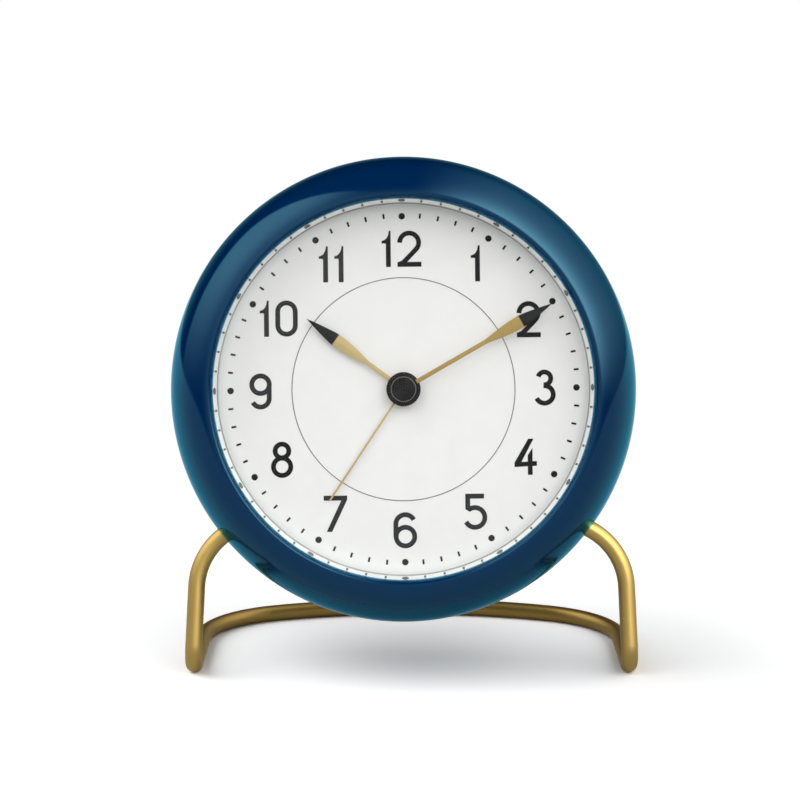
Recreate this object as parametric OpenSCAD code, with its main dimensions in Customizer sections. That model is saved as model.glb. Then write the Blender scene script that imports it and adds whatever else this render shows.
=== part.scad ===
// Table clock: a round moulded case with a quartz alarm movement, held by a bent tube stand.
// Origin: centre of the footprint on the table. +X is the viewer's right, -Y the viewer, +Z up.
// The clock's own pieces are drawn in the dial's frame: x right, y up the dial, z out to the viewer,
// with the dial's face at z = 0, and in_clock() leans them back and lifts them onto the stand.

/* [Case] */
// Outer diameter of the case at its widest circle
case_d = 110; // [100:1:120]
// Depth of the widest circle behind the dial
case_waist_depth = 15.4; // [14:0.1:17]
// Height of the case's crown in front of the dial
case_crown_height = 8.6; // [8:0.1:9.5]
// Radial width of the rounded ring outside its crown
case_crown_width = 10.4; // [9.5:0.1:10.6]
// Depth of the case's rear edge behind the dial
case_back_depth = 36; // [36:0.5:40]
// Radial width of the rounded shoulder behind the widest circle
case_shoulder_width = 16; // [15:0.5:17]
// Length of that shoulder from the widest circle, past the rear edge, to where it would close
case_shoulder_length = 22.2; // [21.5:0.1:26]
// Wall thickness of the case
case_wall = 2.4; // [2:0.1:2.6]
// Lean of the whole clock back from upright
case_lean = 9; // [6:0.5:10]
// Height of the dial's centre above the table
dial_height = 68.7; // [67:0.5:76]

/* [Stand] */
// Depth of the legs' plane behind the dial
leg_depth = 10; // [8:0.5:12]
// Diameter of the stand's tube
tube_d = 4; // [3.5:0.1:4.5]
// Distance of each foot from the stand's middle plane
stand_half_width = 51.5; // [50.5:0.1:53]
// Centreline radius of the bend at each foot
foot_bend_r = 5; // [4:0.5:7]
// Inward slant of the legs
leg_splay = 2.7; // [1.5:0.1:3]
// Height down the dial at which the legs start to bend in
leg_bend_drop = 46.5; // [45:0.5:47.5]
// Centreline radius of the bend at the top of each leg
leg_bend_r = 16.2; // [15:0.1:17.5]
// Angle that the top bend turns through
leg_bend_angle = 62; // [60:1:66]
// Straight length of tube inside each socket
socket_depth = 8; // [6:0.5:9]
// Distance from the leg's line on the table back to the rear of the stand
stand_reach = 61.2; // [56:0.2:68]
// Centreline radius of the two rear corners
rear_corner_r = 26.4; // [22:0.2:32]
// Centreline radius of the long rear arc
rear_arc_r = 93; // [80:1:120]
// Sideways seat of the stand in the case, as photographed
stand_seat_shift = 1.9; // [0:0.1:2.5]

/* [Dial] */
// Width of the case's rim round the opening
rim_width = 11.35; // [11:0.05:11.8]
// Width of the white ring's slope, from the opening in to its foot on the dial
ring_slope_width = 0.75; // [0.5:0.05:1.5]
// Thickness of the dial
dial_t = 0.6; // [0.5:0.1:0.8]
// Thickness of the printing, drawn as thin solids
print_t = 0.05; // [0.03:0.01:0.1]
// Turn of the dial in its seat, as photographed
dial_turn = 0.6; // [0:0.1:2]
// Height of the numerals
numeral_h = 8.35; // [7.5:0.05:9]
// Stroke of the numerals as a share of their height
numeral_stroke_share = 0.134; // [0.11:0.002:0.15]
// Distance of the numerals' centres in from the ring's foot
numeral_inset = 10.05; // [9.5:0.05:11]
// Distance of the hour dots in from the ring's foot
hour_dot_inset = 2.9; // [2.4:0.1:3.3]
// Diameter of an hour dot
hour_dot_d = 1.5; // [1:0.1:1.9]
// Distance of the minute ticks' middles in from the ring's foot
tick_inset = 2.7; // [2.3:0.1:3.2]
// Length of a minute tick
tick_length = 1.15; // [0.8:0.05:1.5]
// Width of a minute tick
tick_width = 0.46; // [0.3:0.02:0.6]
// Distance of the thin inner circle in from the ring's foot
inner_circle_inset = 17.1; // [16:0.1:19]
// Line width of the thin inner circle
inner_circle_line = 0.2; // [0.12:0.02:0.4]

/* [Hands] */
// Angle of the hour hand clockwise from 12
hour_angle = 306; // [0:1:359]
// Angle of the minute hand clockwise from 12
minute_angle = 60; // [0:1:359]
// Angle of the alarm hand clockwise from 12
alarm_angle = 213.5; // [0:0.5:359]
// Length of the hour hand
hour_hand_length = 27.7; // [25:0.1:29]
// Gap between the minute hand's point and the ring's foot
minute_tip_gap = 3.3; // [2:0.1:6]
// Length of the alarm hand
alarm_hand_length = 30.8; // [27:0.1:36]
// Widest part of the hour and minute hands
leaf_width = 2.9; // [2.2:0.1:3.4]
// Width of the hands' stems
stem_width = 1.13; // [0.9:0.01:1.4]
// Width of the alarm hand
alarm_hand_width = 0.45; // [0.35:0.05:0.7]
// Length of the black point of the hour and minute hands
black_tip_length = 8.3; // [7:0.1:9]
// Length over which a leaf widens from its stem
leaf_flare_length = 9.2; // [7:0.1:10]
// Thickness of a hand
hand_t = 0.3; // [0.2:0.05:0.4]
// Diameter of the black hub
hub_d = 7.9; // [7:0.1:9]
// Diameter of the bright ring in the hub's cap
cap_ring_d = 5.85; // [5.2:0.05:6.4]

/* [Controls] */
// Diameter of the two setting knobs
knob_d = 11; // [9:0.5:12.5]
// Length of a setting knob behind the rear cover
knob_length = 4.5; // [3.5:0.5:6]
// Diameter of the snooze button
snooze_d = 8; // [6.5:0.5:9]
// Travel of the snooze button
snooze_travel = 1; // [0.6:0.1:1]
// Travel of the alarm switch
switch_travel = 4; // [3:0.5:5]

/* [Hidden] */
$fn = 48;

// Overrun of every cut past the face that it opens
over = 0.4;
// Gap left round a piece that drops into its seat
seat_gap = 0.1;
// Radial gap of a shaft that turns in its bore
run_gap = 0.05;
// Gap between pieces that pass each other
pass_gap = 0.4;

// Case, worked out from its driving sizes
case_r = case_d / 2;
crown_r = case_r - case_crown_width;
opening_r = case_r - rim_width;
waist_z = -case_waist_depth;
crown_rise = case_crown_height + case_waist_depth;
lip_roll_height = 2.2;
lip_z = case_crown_height - lip_roll_height;
lip_land = 0.6;
lip_lap = 1.35;
lens_seat_z = lip_z - lip_land;
sleeve_bore_r = opening_r + lip_lap;
sleeve_wall = 1.6;
sleeve_r = sleeve_bore_r + sleeve_wall;
sleeve_meet_angle = acos((sleeve_r - crown_r) / (case_crown_width - case_wall));
sleeve_depth = 3;
shoulder_r = case_r - case_shoulder_width;
back_z = -case_back_depth;
rim_outer_r = shoulder_radius(back_z, 0);
rim_wall = 1.65;
curve_steps = 14;

// Rear cover, and the ledge and ears that it seats on
cover_r = rim_outer_r - rim_wall - seat_gap;
cover_t = 2;
cover_in_z = back_z + cover_t;
ledge_width = 1.1;
ledge_t = 1.4;
ear_r = 3;
ear_circle_r = cover_r - ear_r;
ear_length = 8;
ear_angles = [30, 150, 270];
screw_r = 1;
screw_head_r = 1.9;
screw_head_t = 1.2;
screw_length = 7;

// Lens, gasket and ring, stacked in front of the dial
lens_t = 1.5;
lens_back_z = lens_seat_z - lens_t;
gasket_t = 0.4;
gasket_z = lens_back_z - gasket_t;
insert_r = sleeve_bore_r - seat_gap;
ring_top_r = opening_r + 2 * seat_gap;
// The ring's polished bevel, from a steep foot below it to its upright top
ring_bevel_low_z = 0.95;
ring_bevel_high_z = 2.1;
ring_bevel_width = 0.68;
dial_back_z = -dial_t;

// Places on the dial, worked in from the ring's foot
ring_foot_r = opening_r - ring_slope_width;
numeral_circle_r = ring_foot_r - numeral_inset;
hour_dot_circle_r = ring_foot_r - hour_dot_inset;
tick_circle_r = ring_foot_r - tick_inset;
inner_circle_r = ring_foot_r - inner_circle_inset;
minute_hand_length = ring_foot_r - minute_tip_gap;

// Numerals: tables in shares of the numeral height, from the lower left corner
digit_width_shares = [0.62, 0.25, 0.667, 0.56, 0.62, 0.667, 0.667, 0.652, 0.62, 0.595];
digit_gap_share = 0.18;
// Each numeral's place from 1 to 12, in shares of their circle's radius, as photographed
place_shares = [[0.515, 0.881], [0.886, 0.484], [0.997, 0.001], [0.855, -0.485],
    [0.496, -0.868], [0.003, -0.993], [-0.487, -0.872], [-0.859, -0.488], [-1.005, -0.006],
    [-0.873, 0.506], [-0.5, 0.885], [-0.004, 0.989]];
arc_steps = 16;
stroke_half_share = numeral_stroke_share / 2;

// Hub and hand levels in front of the dial
hand_gap = 0.4;
alarm_hand_z = 0.6;
hour_hand_z = alarm_hand_z + hand_t + hand_gap;
hub_t = 0.6;
hub_z = hour_hand_z + hand_t + hand_gap;
minute_hand_z = hub_z + hub_t;
cap_z = minute_hand_z + hand_t;
cap_step_t = 0.3;
cap_ring_t = 0.25;
cap_crown_t = 0.1;
cap_inset = 0.5;
cap_r = hub_d / 2 - cap_inset;
cap_ring_r = cap_ring_d / 2;
cap_ring_width = 0.17;
hand_eye_inset = 0.3;
hand_eye_r = cap_r - hand_eye_inset;
tip_paint_t = 0.04;
tip_curve_power = 1.25;

// Pipes and arbors on the dial's axis
minute_arbor_r = 1.2;
hour_pipe_r = 1.8;
alarm_pipe_r = 2.4;
dial_hole_r = alarm_pipe_r + pass_gap;
arbor_r = 0.8;
pivot_r = 0.4;
pivot_depth = 0.9;

// Wheels: teeth and modules
cannon_teeth = 12;
minute_wheel_teeth = 36;
minute_pinion_teeth = 10;
hour_wheel_teeth = 40;
alarm_wheel_teeth = 40;
alarm_pinion_teeth = 10;
centre_wheel_teeth = 80;
third_pinion_teeth = 8;
third_wheel_teeth = 72;
rotor_pinion_teeth = 8;
motion_module = 0.4;
train_module = 0.2;
motion_distance = motion_module * (cannon_teeth + minute_wheel_teeth) / 2;
hour_module = 2 * motion_distance / (minute_pinion_teeth + hour_wheel_teeth);
alarm_distance = motion_module * (alarm_wheel_teeth + alarm_pinion_teeth) / 2;
third_distance = train_module * (centre_wheel_teeth + third_pinion_teeth) / 2;
rotor_distance = train_module * (third_wheel_teeth + rotor_pinion_teeth) / 2;
motion_dir = 200;
alarm_dir = -20;
third_dir = 70;
rotor_dir = 110;
motion_at = polar(motion_distance, motion_dir);
alarm_at = polar(alarm_distance, alarm_dir);
third_at = polar(third_distance, third_dir);
rotor_at = third_at + polar(rotor_distance, rotor_dir);
// Tooth outline: angles as shares of the pitch, heights as shares of the module
tooth_root_share = 0.3;
tooth_tip_share = 0.1;
addendum_share = 0.85;
dedendum_share = 1.2;

// Movement levels behind the dial
movement_w = 46;
movement_low_y = -13;
movement_mid_y = movement_low_y + movement_w / 2;
movement_wall = 1.2;
front_plate_t = 1.2;
front_plate_z = dial_back_z - front_plate_t;
wheel_t = 1;
wheel_gap = 0.5;
alarm_wheel_z = front_plate_z - wheel_gap - wheel_t;
hour_wheel_z = alarm_wheel_z - wheel_gap - wheel_t;
cannon_z = hour_wheel_z - wheel_gap - wheel_t;
bridge_t = 0.8;
bridge_z = cannon_z - wheel_gap - bridge_t;
train_wheel_t = 0.8;
centre_wheel_z = bridge_z - wheel_gap - train_wheel_t;
third_wheel_z = centre_wheel_z - wheel_gap - train_wheel_t;
pinion_overlap = 0.2;
floor_t = 1.4;
floor_z = -16.6;
movement_back_z = floor_z - floor_t;
pillar_inset = 3.6;
pillar_r = 2.2;
pillar_foot_r = 1.9;
pillar_tube_r = 3;
pillar_bore_depth = 9;

// Stepping motor
stator_t = 0.8;
stator_z = -13.4;
stator_hole_r = 2.9;
stator_yoke_h = 6.4;
stator_half_w = 12;
stator_arm_w = 3.5;
stator_arm_reach = 9.5;
magnet_r = 2.4;
magnet_h = 2.4;
coil_y = rotor_at[1] + stator_yoke_h / 2 + stator_arm_reach - stator_arm_w / 2;
coil_mid_z = stator_z + stator_t + stator_t / 2;
coil_half_l = 7.5;
bobbin_flange_t = 0.8;
bobbin_flange_h = 6.4;
bobbin_wall = 0.5;
winding_h = 5.6;
board_t = 0.8;
board_w = 9;
board_l = 30;
board_right_gap = 0.6;
board_low_y = -6;
crystal_r = 1;
crystal_l = 6.5;
chip_w = 4;
chip_t = 1.2;

// Setting knobs
knob_r = knob_d / 2;
knob_shaft_r = 1.6;
knob_flutes = 18;
knob_flute_r = 0.5;
arbor_stub_length = 6;

// Battery, its tray in the rear cover and its sliding door
battery_r = 7.25;
battery_l = 50.5;
battery_nub_l = 1.2;
battery_nub_r = 2.6;
battery_y = -22;
tray_gap = 0.45;
tray_wall = 1;
contact_t = 0.4;
spring_room = 3.1;
tray_half_l = (battery_l + spring_room) / 2 + contact_t;
tray_half_h = battery_r + tray_gap;
battery_z = cover_in_z + battery_r + tray_gap;
tray_depth_z = battery_z + battery_r + tray_gap;
battery_plus_x = tray_half_l - contact_t;
contact_w = 10;
spring_wire_r = 0.35;
spring_foot_r = 4.5;
spring_head_r = 2.6;
spring_turns = 2;
spring_sides = 6;
spring_steps = 16;
door_t = 1.4;
door_half_l = 28;
door_half_h = 9;
rail_w = 1.5;
rail_lip = 0.7;
rail_lip_t = 1;

// Buzzer and alarm switch on the rear cover
buzzer_r = 9;
buzzer_t = 3;
buzzer_gap = 3.4;
buzzer_rim = 1;
sound_hole_r = 0.8;
sound_circle_r = 4;
sound_holes = 6;
switch_y = 9;
switch_stem_w = 2.6;
switch_stem_h = 2.4;
switch_head_w = 5;
switch_head_h = 4.4;
switch_head_t = 1.3;
switch_body_w = 11;
switch_body_h = 7;
switch_body_t = 4.5;

// Snooze button at the top of the case, behind its widest circle
snooze_set_back = 6.6;
snooze_z = waist_z - snooze_set_back;
snooze_r = snooze_d / 2;
snooze_rim = 1;
snooze_flange_t = 1.2;
snooze_proud = 1.2;
snooze_stem_r = 1.5;
snooze_stem_l = 1.9;
snooze_flange_top = shoulder_radius(snooze_z - snooze_r - snooze_rim, case_wall) - pass_gap;
snooze_top = shoulder_radius(snooze_z, 0) + snooze_proud;
snooze_stem_low = snooze_flange_top - snooze_flange_t - snooze_stem_l;
plunger_top = snooze_stem_low - snooze_travel - seat_gap;
plunger_l = 0.5;
snooze_switch_w = 6;
snooze_switch_h = 4;
shelf_t = 1.5;
shelf_half_w = 7;
shelf_y = plunger_top - plunger_l - snooze_switch_h;
buzzer_y = shelf_y - shelf_t - buzzer_gap - buzzer_r;
post_r = 2;
post_x = 14;
post_low_y = -9.5;
post_high_y = 28.5;

// Stand, worked out from its driving sizes
tube_r = tube_d / 2;
bend_lap = 0.3;
bend_step = 0.02;
socket_wall = 1.6;
socket_back = 5;
foot_slant = atan2(sin(leg_splay), cos(leg_splay) * cos(case_lean));
leg_lean = asin(cos(leg_splay) * sin(case_lean));
foot_rise = foot_bend_r * (1 + sin(leg_lean));
foot_top_z = tube_r + foot_rise * cos(foot_slant);
leg_line_y = (leg_depth + (tube_r - dial_height) * sin(case_lean)) / cos(case_lean);
foot_top_y = (leg_depth + (foot_top_z - dial_height) * sin(case_lean)) / cos(case_lean);
foot_y = foot_top_y + foot_bend_r * cos(leg_lean);
foot_top_up = foot_top_y * sin(case_lean) + (foot_top_z - dial_height) * cos(case_lean);
leg_length = (-leg_bend_drop - foot_top_up) / cos(leg_splay);
rear_y = leg_line_y + stand_reach;
rear_half_angle = asin((stand_half_width - rear_corner_r) / (rear_arc_r - rear_corner_r));
corner_y = rear_y - rear_arc_r + (rear_arc_r - rear_corner_r) * cos(rear_half_angle);

// Place of the dial's centre over the footprint
front_reach = crown_r * sin(case_lean) - case_waist_depth * cos(case_lean)
    + norm([case_crown_width * sin(case_lean), crown_rise * cos(case_lean)]);
rear_reach = rear_y + tube_r;
right_reach = max(case_r, stand_half_width + tube_r + stand_seat_shift);
dial_x = (case_r - right_reach) / 2;
dial_y = (front_reach - rear_reach) / 2;

function polar(r, a) = [r * cos(a), r * sin(a)];

// Points of an elliptic arc about [r, z], with its own radii and end angles
function arc_points(r, z, rx, rz, a0, a1, steps = curve_steps) =
    [for (i = [0:steps]) let (q = a0 + (a1 - a0) * i / steps) [r + rx * cos(q), z + rz * sin(q)]];

// Radius of the case behind its widest circle, at a depth and an inset from the outside
function shoulder_radius(z, inset) =
    case_r - case_shoulder_width
    + (case_shoulder_width - inset)
    * sqrt(1 - pow((z + case_waist_depth) / (case_shoulder_length - inset), 2));

function shoulder_angle(z, inset) =
    asin((z + case_waist_depth) / (case_shoulder_length - inset));

// Outline of the case from its crown over the widest circle to the rear edge
function case_outline(inset) = concat(
    arc_points(crown_r, waist_z, case_crown_width - inset, crown_rise - inset, 90, 0),
    arc_points(shoulder_r, waist_z, case_shoulder_width - inset, case_shoulder_length - inset,
        0, shoulder_angle(back_z, inset)));

module in_clock() {
    translate([dial_x, dial_y, dial_height]) rotate([90 - case_lean, 0, 0]) children();
}

// A tube or disc with a bore
module pipe(r, bore, h) {
    difference() {
        cylinder(h = h, r = r);
        translate([0, 0, -over]) cylinder(h = h + 2 * over, r = bore);
    }
}

// A block centred in x and y, from one height to another
module block(w, h, z0, z1) {
    translate([-w / 2, -h / 2, z0]) cube([w, h, z1 - z0]);
}

// A toothed disc with one tooth centred on an angle
module gear(teeth, gear_module, h, tooth_at) {
    root_r = gear_module * (teeth / 2 - dedendum_share);
    tip_r = gear_module * (teeth / 2 + addendum_share);
    corners = [[-tooth_root_share, root_r], [-tooth_tip_share, tip_r],
        [tooth_tip_share, tip_r], [tooth_root_share, root_r]];
    linear_extrude(h) polygon([for (i = [0:teeth - 1]) for (c = corners)
        polar(c[1], tooth_at + (i + c[0]) * 360 / teeth)]);
}

// A sector of bent tube that starts on +x and turns towards +y
module tube_arc(bend_r, angle, r) {
    rotate_extrude(angle = angle) translate([bend_r, 0]) circle(r);
}

// A bend between two runs of tube, a hair slimmer than them and lapped into their ends
module tube_bend(bend_r, angle, r) {
    lap_angle = bend_lap / bend_r * 180 / PI;
    rotate(-lap_angle) tube_arc(bend_r, angle + 2 * lap_angle, r - bend_step);
}

// Case shell

module case_section() {
    polygon(concat(
        arc_points(crown_r, lip_z, crown_r - opening_r, lip_roll_height, 180, 90),
        case_outline(0),
        [[cover_r + seat_gap, back_z], [cover_r + seat_gap, cover_in_z],
            [cover_r + seat_gap - ledge_width, cover_in_z],
            [cover_r + seat_gap - ledge_width, cover_in_z + ledge_t]],
        arc_points(shoulder_r, waist_z, case_shoulder_width - case_wall,
            case_shoulder_length - case_wall, shoulder_angle(cover_in_z + ledge_t, case_wall), 0),
        arc_points(crown_r, waist_z, case_crown_width - case_wall, crown_rise - case_wall,
            0, sleeve_meet_angle),
        [[sleeve_r, -sleeve_depth], [sleeve_bore_r, -sleeve_depth],
            [sleeve_bore_r, lens_seat_z], [opening_r, lens_seat_z]]));
}

// The case's outline filled in, a little inside its surface
module case_core() {
    rotate_extrude() polygon(concat([[0, back_z], [0, case_crown_height - case_wall / 2]],
        case_outline(case_wall / 2)));
}

module case_shell() {
    color("#0a4a6b") difference() {
        union() {
            in_clock() rotate_extrude() case_section();
            in_clock() cover_ears(ear_r, ear_length, cover_in_z);
            intersection() {
                both_sides() socket_boss();
                in_clock() case_core();
            }
        }
        both_sides() leg_top(tube_r + seat_gap / 2);
        in_clock() cover_ears(screw_r, screw_length - cover_t + over, cover_in_z - over);
        in_clock() translate([0, snooze_flange_top, snooze_z]) rotate([-90, 0, 0])
            cylinder(h = snooze_top, r = snooze_r + seat_gap);
    }
}

// A rod at each place where a screw holds the rear cover
module cover_ears(r, h, z) {
    for (a = ear_angles)
        rotate(a) translate([ear_circle_r, 0, z]) cylinder(h = h, r = r);
}

// Stand

// Draws its children on both sides of the stand's middle plane
module both_sides() {
    translate([dial_x + stand_seat_shift, dial_y, 0]) {
        children();
        mirror([1, 0, 0]) children();
    }
}

// Moves its children to the right foot, with z up the slanted plane of the foot's bend
module at_foot() {
    translate([stand_half_width, foot_y, tube_r]) rotate([0, -foot_slant, 0]) children();
}

// Moves its children to the foot of the straight leg, with z along the leg
module at_leg() {
    at_foot() translate([0, -foot_bend_r * cos(leg_lean), foot_rise]) rotate([-leg_lean, 0, 0])
        children();
}

// Moves its children to the end of the top bend, with z along the tube
module at_socket() {
    at_leg() translate([-leg_bend_r, 0, leg_length]) rotate([0, -leg_bend_angle, 0])
        translate([leg_bend_r, 0, 0]) children();
}

// The top bend and the straight end of the tube, which pass into the case
module leg_top(r) {
    at_leg() translate([-leg_bend_r, 0, leg_length]) rotate([90, 0, 0])
        tube_bend(leg_bend_r, leg_bend_angle, r);
    at_socket() cylinder(h = socket_depth, r = r);
}

module socket_boss() {
    at_socket() translate([0, 0, -socket_back])
        cylinder(h = socket_back + socket_depth, r = tube_r + socket_wall);
}

// One leg with its foot and the run back along the table to the rear corner
module leg() {
    leg_top(tube_r);
    at_leg() cylinder(h = leg_length, r = tube_r);
    at_leg() translate([0, foot_bend_r, 0]) rotate([-90, 0, 0]) rotate([0, 90, 0])
        tube_bend(foot_bend_r, 90 + leg_lean, tube_r);
    translate([stand_half_width, corner_y, tube_r]) rotate([90, 0, 0])
        cylinder(h = corner_y - foot_y, r = tube_r);
    translate([stand_half_width - rear_corner_r, corner_y, tube_r])
        tube_bend(rear_corner_r, 90 - rear_half_angle, tube_r);
}

module stand() {
    color("#bca05a") {
        both_sides() leg();
        translate([dial_x + stand_seat_shift, dial_y + rear_y - rear_arc_r, tube_r])
            rotate(90 - rear_half_angle) tube_arc(rear_arc_r, 2 * rear_half_angle, tube_r);
    }
}

// Front: lens, gasket, ring and dial

module lens() {
    color("#e8f0f2") in_clock() translate([0, 0, lens_back_z]) cylinder(h = lens_t, r = insert_r);
}

module lens_gasket() {
    color("#e8e8e6") in_clock() translate([0, 0, gasket_z]) pipe(insert_r, ring_top_r, gasket_t);
}

module dial_ring() {
    color("#dcdcda") in_clock() rotate_extrude()
        polygon([[ring_foot_r, 0], [insert_r, 0], [insert_r, gasket_z], [ring_top_r, gasket_z],
            [ring_top_r, ring_bevel_high_z], [ring_top_r - ring_bevel_width, ring_bevel_low_z]]);
}

module dial_plate() {
    color("#ededeb") in_clock() translate([0, 0, dial_back_z]) pipe(insert_r, dial_hole_r, dial_t);
}

module on_dial() {
    in_clock() rotate(dial_turn) children();
}

// Numerals, as strokes of even width in shares of their height

function unit(v) = v / norm(v);
function path_normal(path, i) =
    let (t = unit(path[min(i + 1, len(path) - 1)] - path[max(i - 1, 0)])) [-t[1], t[0]];

// The outline of a stroke of even width along a path
function stroke(path) = concat(
    [for (i = [0:len(path) - 1]) path[i] + stroke_half_share * path_normal(path, i)],
    [for (i = [len(path) - 1:-1:0]) path[i] - stroke_half_share * path_normal(path, i)]);

// A round path about a centre in shares, clockwise from one angle to another
function bowl(centre, r, a0, a1) = arc_points(centre[0], centre[1], r, r, a0, a1, arc_steps);

function box_shares(x0, y0, x1, y1) = [[x0, y0], [x1, y0], [x1, y1], [x0, y1]];

module glyph(points) {
    linear_extrude(print_t) polygon(numeral_h * points);
}

module ring_glyph(centre, r) {
    linear_extrude(print_t) translate(numeral_h * centre) difference() {
        circle(numeral_h * (r + stroke_half_share));
        circle(numeral_h * (r - stroke_half_share));
    }
}

module digit(d) {
    full_share = numeral_stroke_share;
    if (d == 0) {
        zero_width_share = digit_width_shares[0];
        bend_share = zero_width_share / 2;
        linear_extrude(print_t) difference() {
            stadium(bend_share, 0);
            stadium(bend_share, full_share);
        }
    }
    if (d == 1) {
        flag_shares = arc_points(0, 1, 0.197, 0.275, 0, -90, arc_steps);
        glyph(concat([[0.116, 0], [0.25, 0], [0.25, 1]], flag_shares,
            [[0, 0.645], [0.05, 0.655], [0.116, 0.645]]));
    }
    if (d == 2) {
        bowl_shares = bowl([0.332, 0.668], 0.265, 180, -45);
        glyph(stroke(concat(bowl_shares, [[0.13, 0.08]])));
        glyph(box_shares(0.005, 0, 0.667, full_share));
        glyph([[0.005, full_share / 2], [0.2, full_share / 2], [0.2, 0.16], [0.09, 0.16],
            [0.005, 0.115]]);
    }
    if (d == 3) {
        glyph(stroke(bowl([0.262, 0.755], 0.178, 163, -90)));
        glyph(stroke(bowl([0.262, 0.31], 0.243, 90, -155)));
        glyph(box_shares(0.235, 0.485, 0.275, 0.645));
    }
    if (d == 4) {
        glyph([[0.385, 1], [0.53, 1], [0.16, 0.3], [0, 0.22], [0, 0.345]]);
        glyph([[0, 0.22], [0.62, 0.25], [0.62, 0.38], [0.1, 0.355], [0, 0.345]]);
        glyph([[0.367, 0], [0.5, 0], [0.5, 0.747], [0.367, 0.541]]);
    }
    if (d == 5) {
        glyph(box_shares(0.061, 1 - full_share, 0.58, 1));
        glyph([[0.061, 0.573], [0.195, 0.493], [0.195, 1], [0.061, 1]]);
        glyph(stroke(bowl([0.325, 0.342], 0.275, 125, -154)));
    }
    if (d == 6) {
        ring_glyph([0.333, 0.324], 0.258);
        glyph(stroke(concat([[0.07, 0.324]], bowl([0.333, 0.668], 0.263, 180, 27))));
    }
    if (d == 7) {
        glyph([[0, 1 - full_share], [0.485, 1 - full_share], [0.075, 0], [0.225, 0],
            [0.65, 0.885], [0.652, 1], [0, 1]]);
    }
    if (d == 8) {
        ring_glyph([0.305, 0.743], 0.19);
        ring_glyph([0.305, 0.306], 0.24);
    }
    if (d == 9) {
        ring_glyph([0.292, 0.69], 0.243);
        glyph(stroke(concat([[0.53, 0.69]], bowl([0.29, 0.31], 0.24, 0, -153))));
    }
}

// A bar with round ends, as wide as the numeral 0 less an inset on every side
module stadium(bend_share, inset_share) {
    r = numeral_h * (bend_share - inset_share);
    low = numeral_h * bend_share;
    high = numeral_h - low;
    translate([low, low]) circle(r);
    translate([low, high]) circle(r);
    translate([low - r, low]) square([2 * r, high - low]);
}

module dial_numerals() {
    color("#1e1e1e") on_dial() for (hour = [1:12]) {
        digits = hour < 10 ? [hour] : [1, hour - 10];
        first_width_share = digit_width_shares[digits[0]];
        second_share = first_width_share + digit_gap_share;
        last_width_share = digit_width_shares[digits[len(digits) - 1]];
        width_share = (len(digits) - 1) * second_share + last_width_share;
        translate(numeral_circle_r * place_shares[hour - 1] - numeral_h / 2 * [width_share, 1])
            for (k = [0:len(digits) - 1])
                translate([k * second_share * numeral_h, 0]) digit(digits[k]);
    }
}

module dial_hour_dots() {
    color("#1e1e1e") on_dial() for (hour = [1:12])
        rotate(30 * hour) translate([hour_dot_circle_r, 0, 0]) cylinder(h = print_t, d = hour_dot_d);
}

module dial_minute_ticks() {
    color("#1e1e1e") on_dial() for (m = [0:59])
        if (m % 5 != 0)
            rotate(6 * m) translate([tick_circle_r, 0]) block(tick_length, tick_width, 0, print_t);
}

module dial_inner_circle() {
    color("#5a5046") on_dial()
        pipe(inner_circle_r + inner_circle_line / 2, inner_circle_r - inner_circle_line / 2, print_t);
}

// Hands

// Turns its children from 12 o'clock to an angle clockwise, at a level in front of the dial
module hand_at(angle, z) {
    in_clock() translate([0, 0, z]) rotate(-angle) children();
}

// Half the width of a leaf-shaped hand at a distance from the axis
function leaf_half(r, tip) =
    let (wide = tip - black_tip_length, flare = wide - leaf_flare_length)
    r <= flare ? stem_width / 2
    : r <= wide ? stem_width / 2
        + (leaf_width - stem_width) / 2 * (1 - cos(180 * (r - flare) / leaf_flare_length)) / 2
    : leaf_width / 2 * (1 - pow((r - wide) / black_tip_length, tip_curve_power));

// Outline of a leaf-shaped hand from one distance to its tip
module leaf(from, tip) {
    wide = tip - black_tip_length;
    flare = wide - leaf_flare_length;
    stations = concat(from < flare ? [from, flare] : [from],
        [for (i = [1:8]) let (r = flare + i * leaf_flare_length / 8) if (r > from) r],
        [for (i = [1:6]) wide + i * black_tip_length / 6]);
    right = [for (r = stations) [leaf_half(r, tip), r]];
    left = [for (i = [len(stations) - 2:-1:0]) [-right[i][0], right[i][1]]];
    polygon(concat(right, left));
}

module leaf_hand(tip, bore) {
    difference() {
        union() {
            cylinder(h = hand_t, r = hand_eye_r);
            linear_extrude(hand_t) leaf((bore + hand_eye_r) / 2, tip);
        }
        translate([0, 0, -over]) cylinder(h = hand_t + 2 * over, r = bore);
    }
}

module black_tip(tip) {
    translate([0, 0, hand_t]) linear_extrude(tip_paint_t) leaf(tip - black_tip_length, tip);
}

module alarm_hand() {
    color("#c9b27a") hand_at(alarm_angle, alarm_hand_z) difference() {
        union() {
            cylinder(h = hand_t, r = hand_eye_r);
            translate([0, alarm_hand_length / 2, 0])
                block(alarm_hand_width, alarm_hand_length, 0, hand_t);
        }
        translate([0, 0, -over]) cylinder(h = hand_t + 2 * over, r = alarm_pipe_r);
    }
}

module hour_hand() {
    color("#c3b07e") hand_at(hour_angle, hour_hand_z) leaf_hand(hour_hand_length, hour_pipe_r);
}

module hour_hand_tip() {
    color("#151515") hand_at(hour_angle, hour_hand_z) black_tip(hour_hand_length);
}

module minute_hand() {
    color("#a08a50") hand_at(minute_angle, minute_hand_z)
        leaf_hand(minute_hand_length, minute_arbor_r);
}

module minute_hand_tip() {
    color("#151515") hand_at(minute_angle, minute_hand_z) black_tip(minute_hand_length);
}

module hand_hub() {
    color("#161616") in_clock() translate([0, 0, hub_z]) pipe(hub_d / 2, minute_arbor_r, hub_t);
}

module hub_cap() {
    color("#1c1a18") in_clock() translate([0, 0, cap_z]) {
        cylinder(h = cap_step_t, r = cap_r);
        cylinder(h = cap_step_t + cap_ring_t + cap_crown_t, r = cap_ring_r - cap_ring_width);
    }
}

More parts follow.
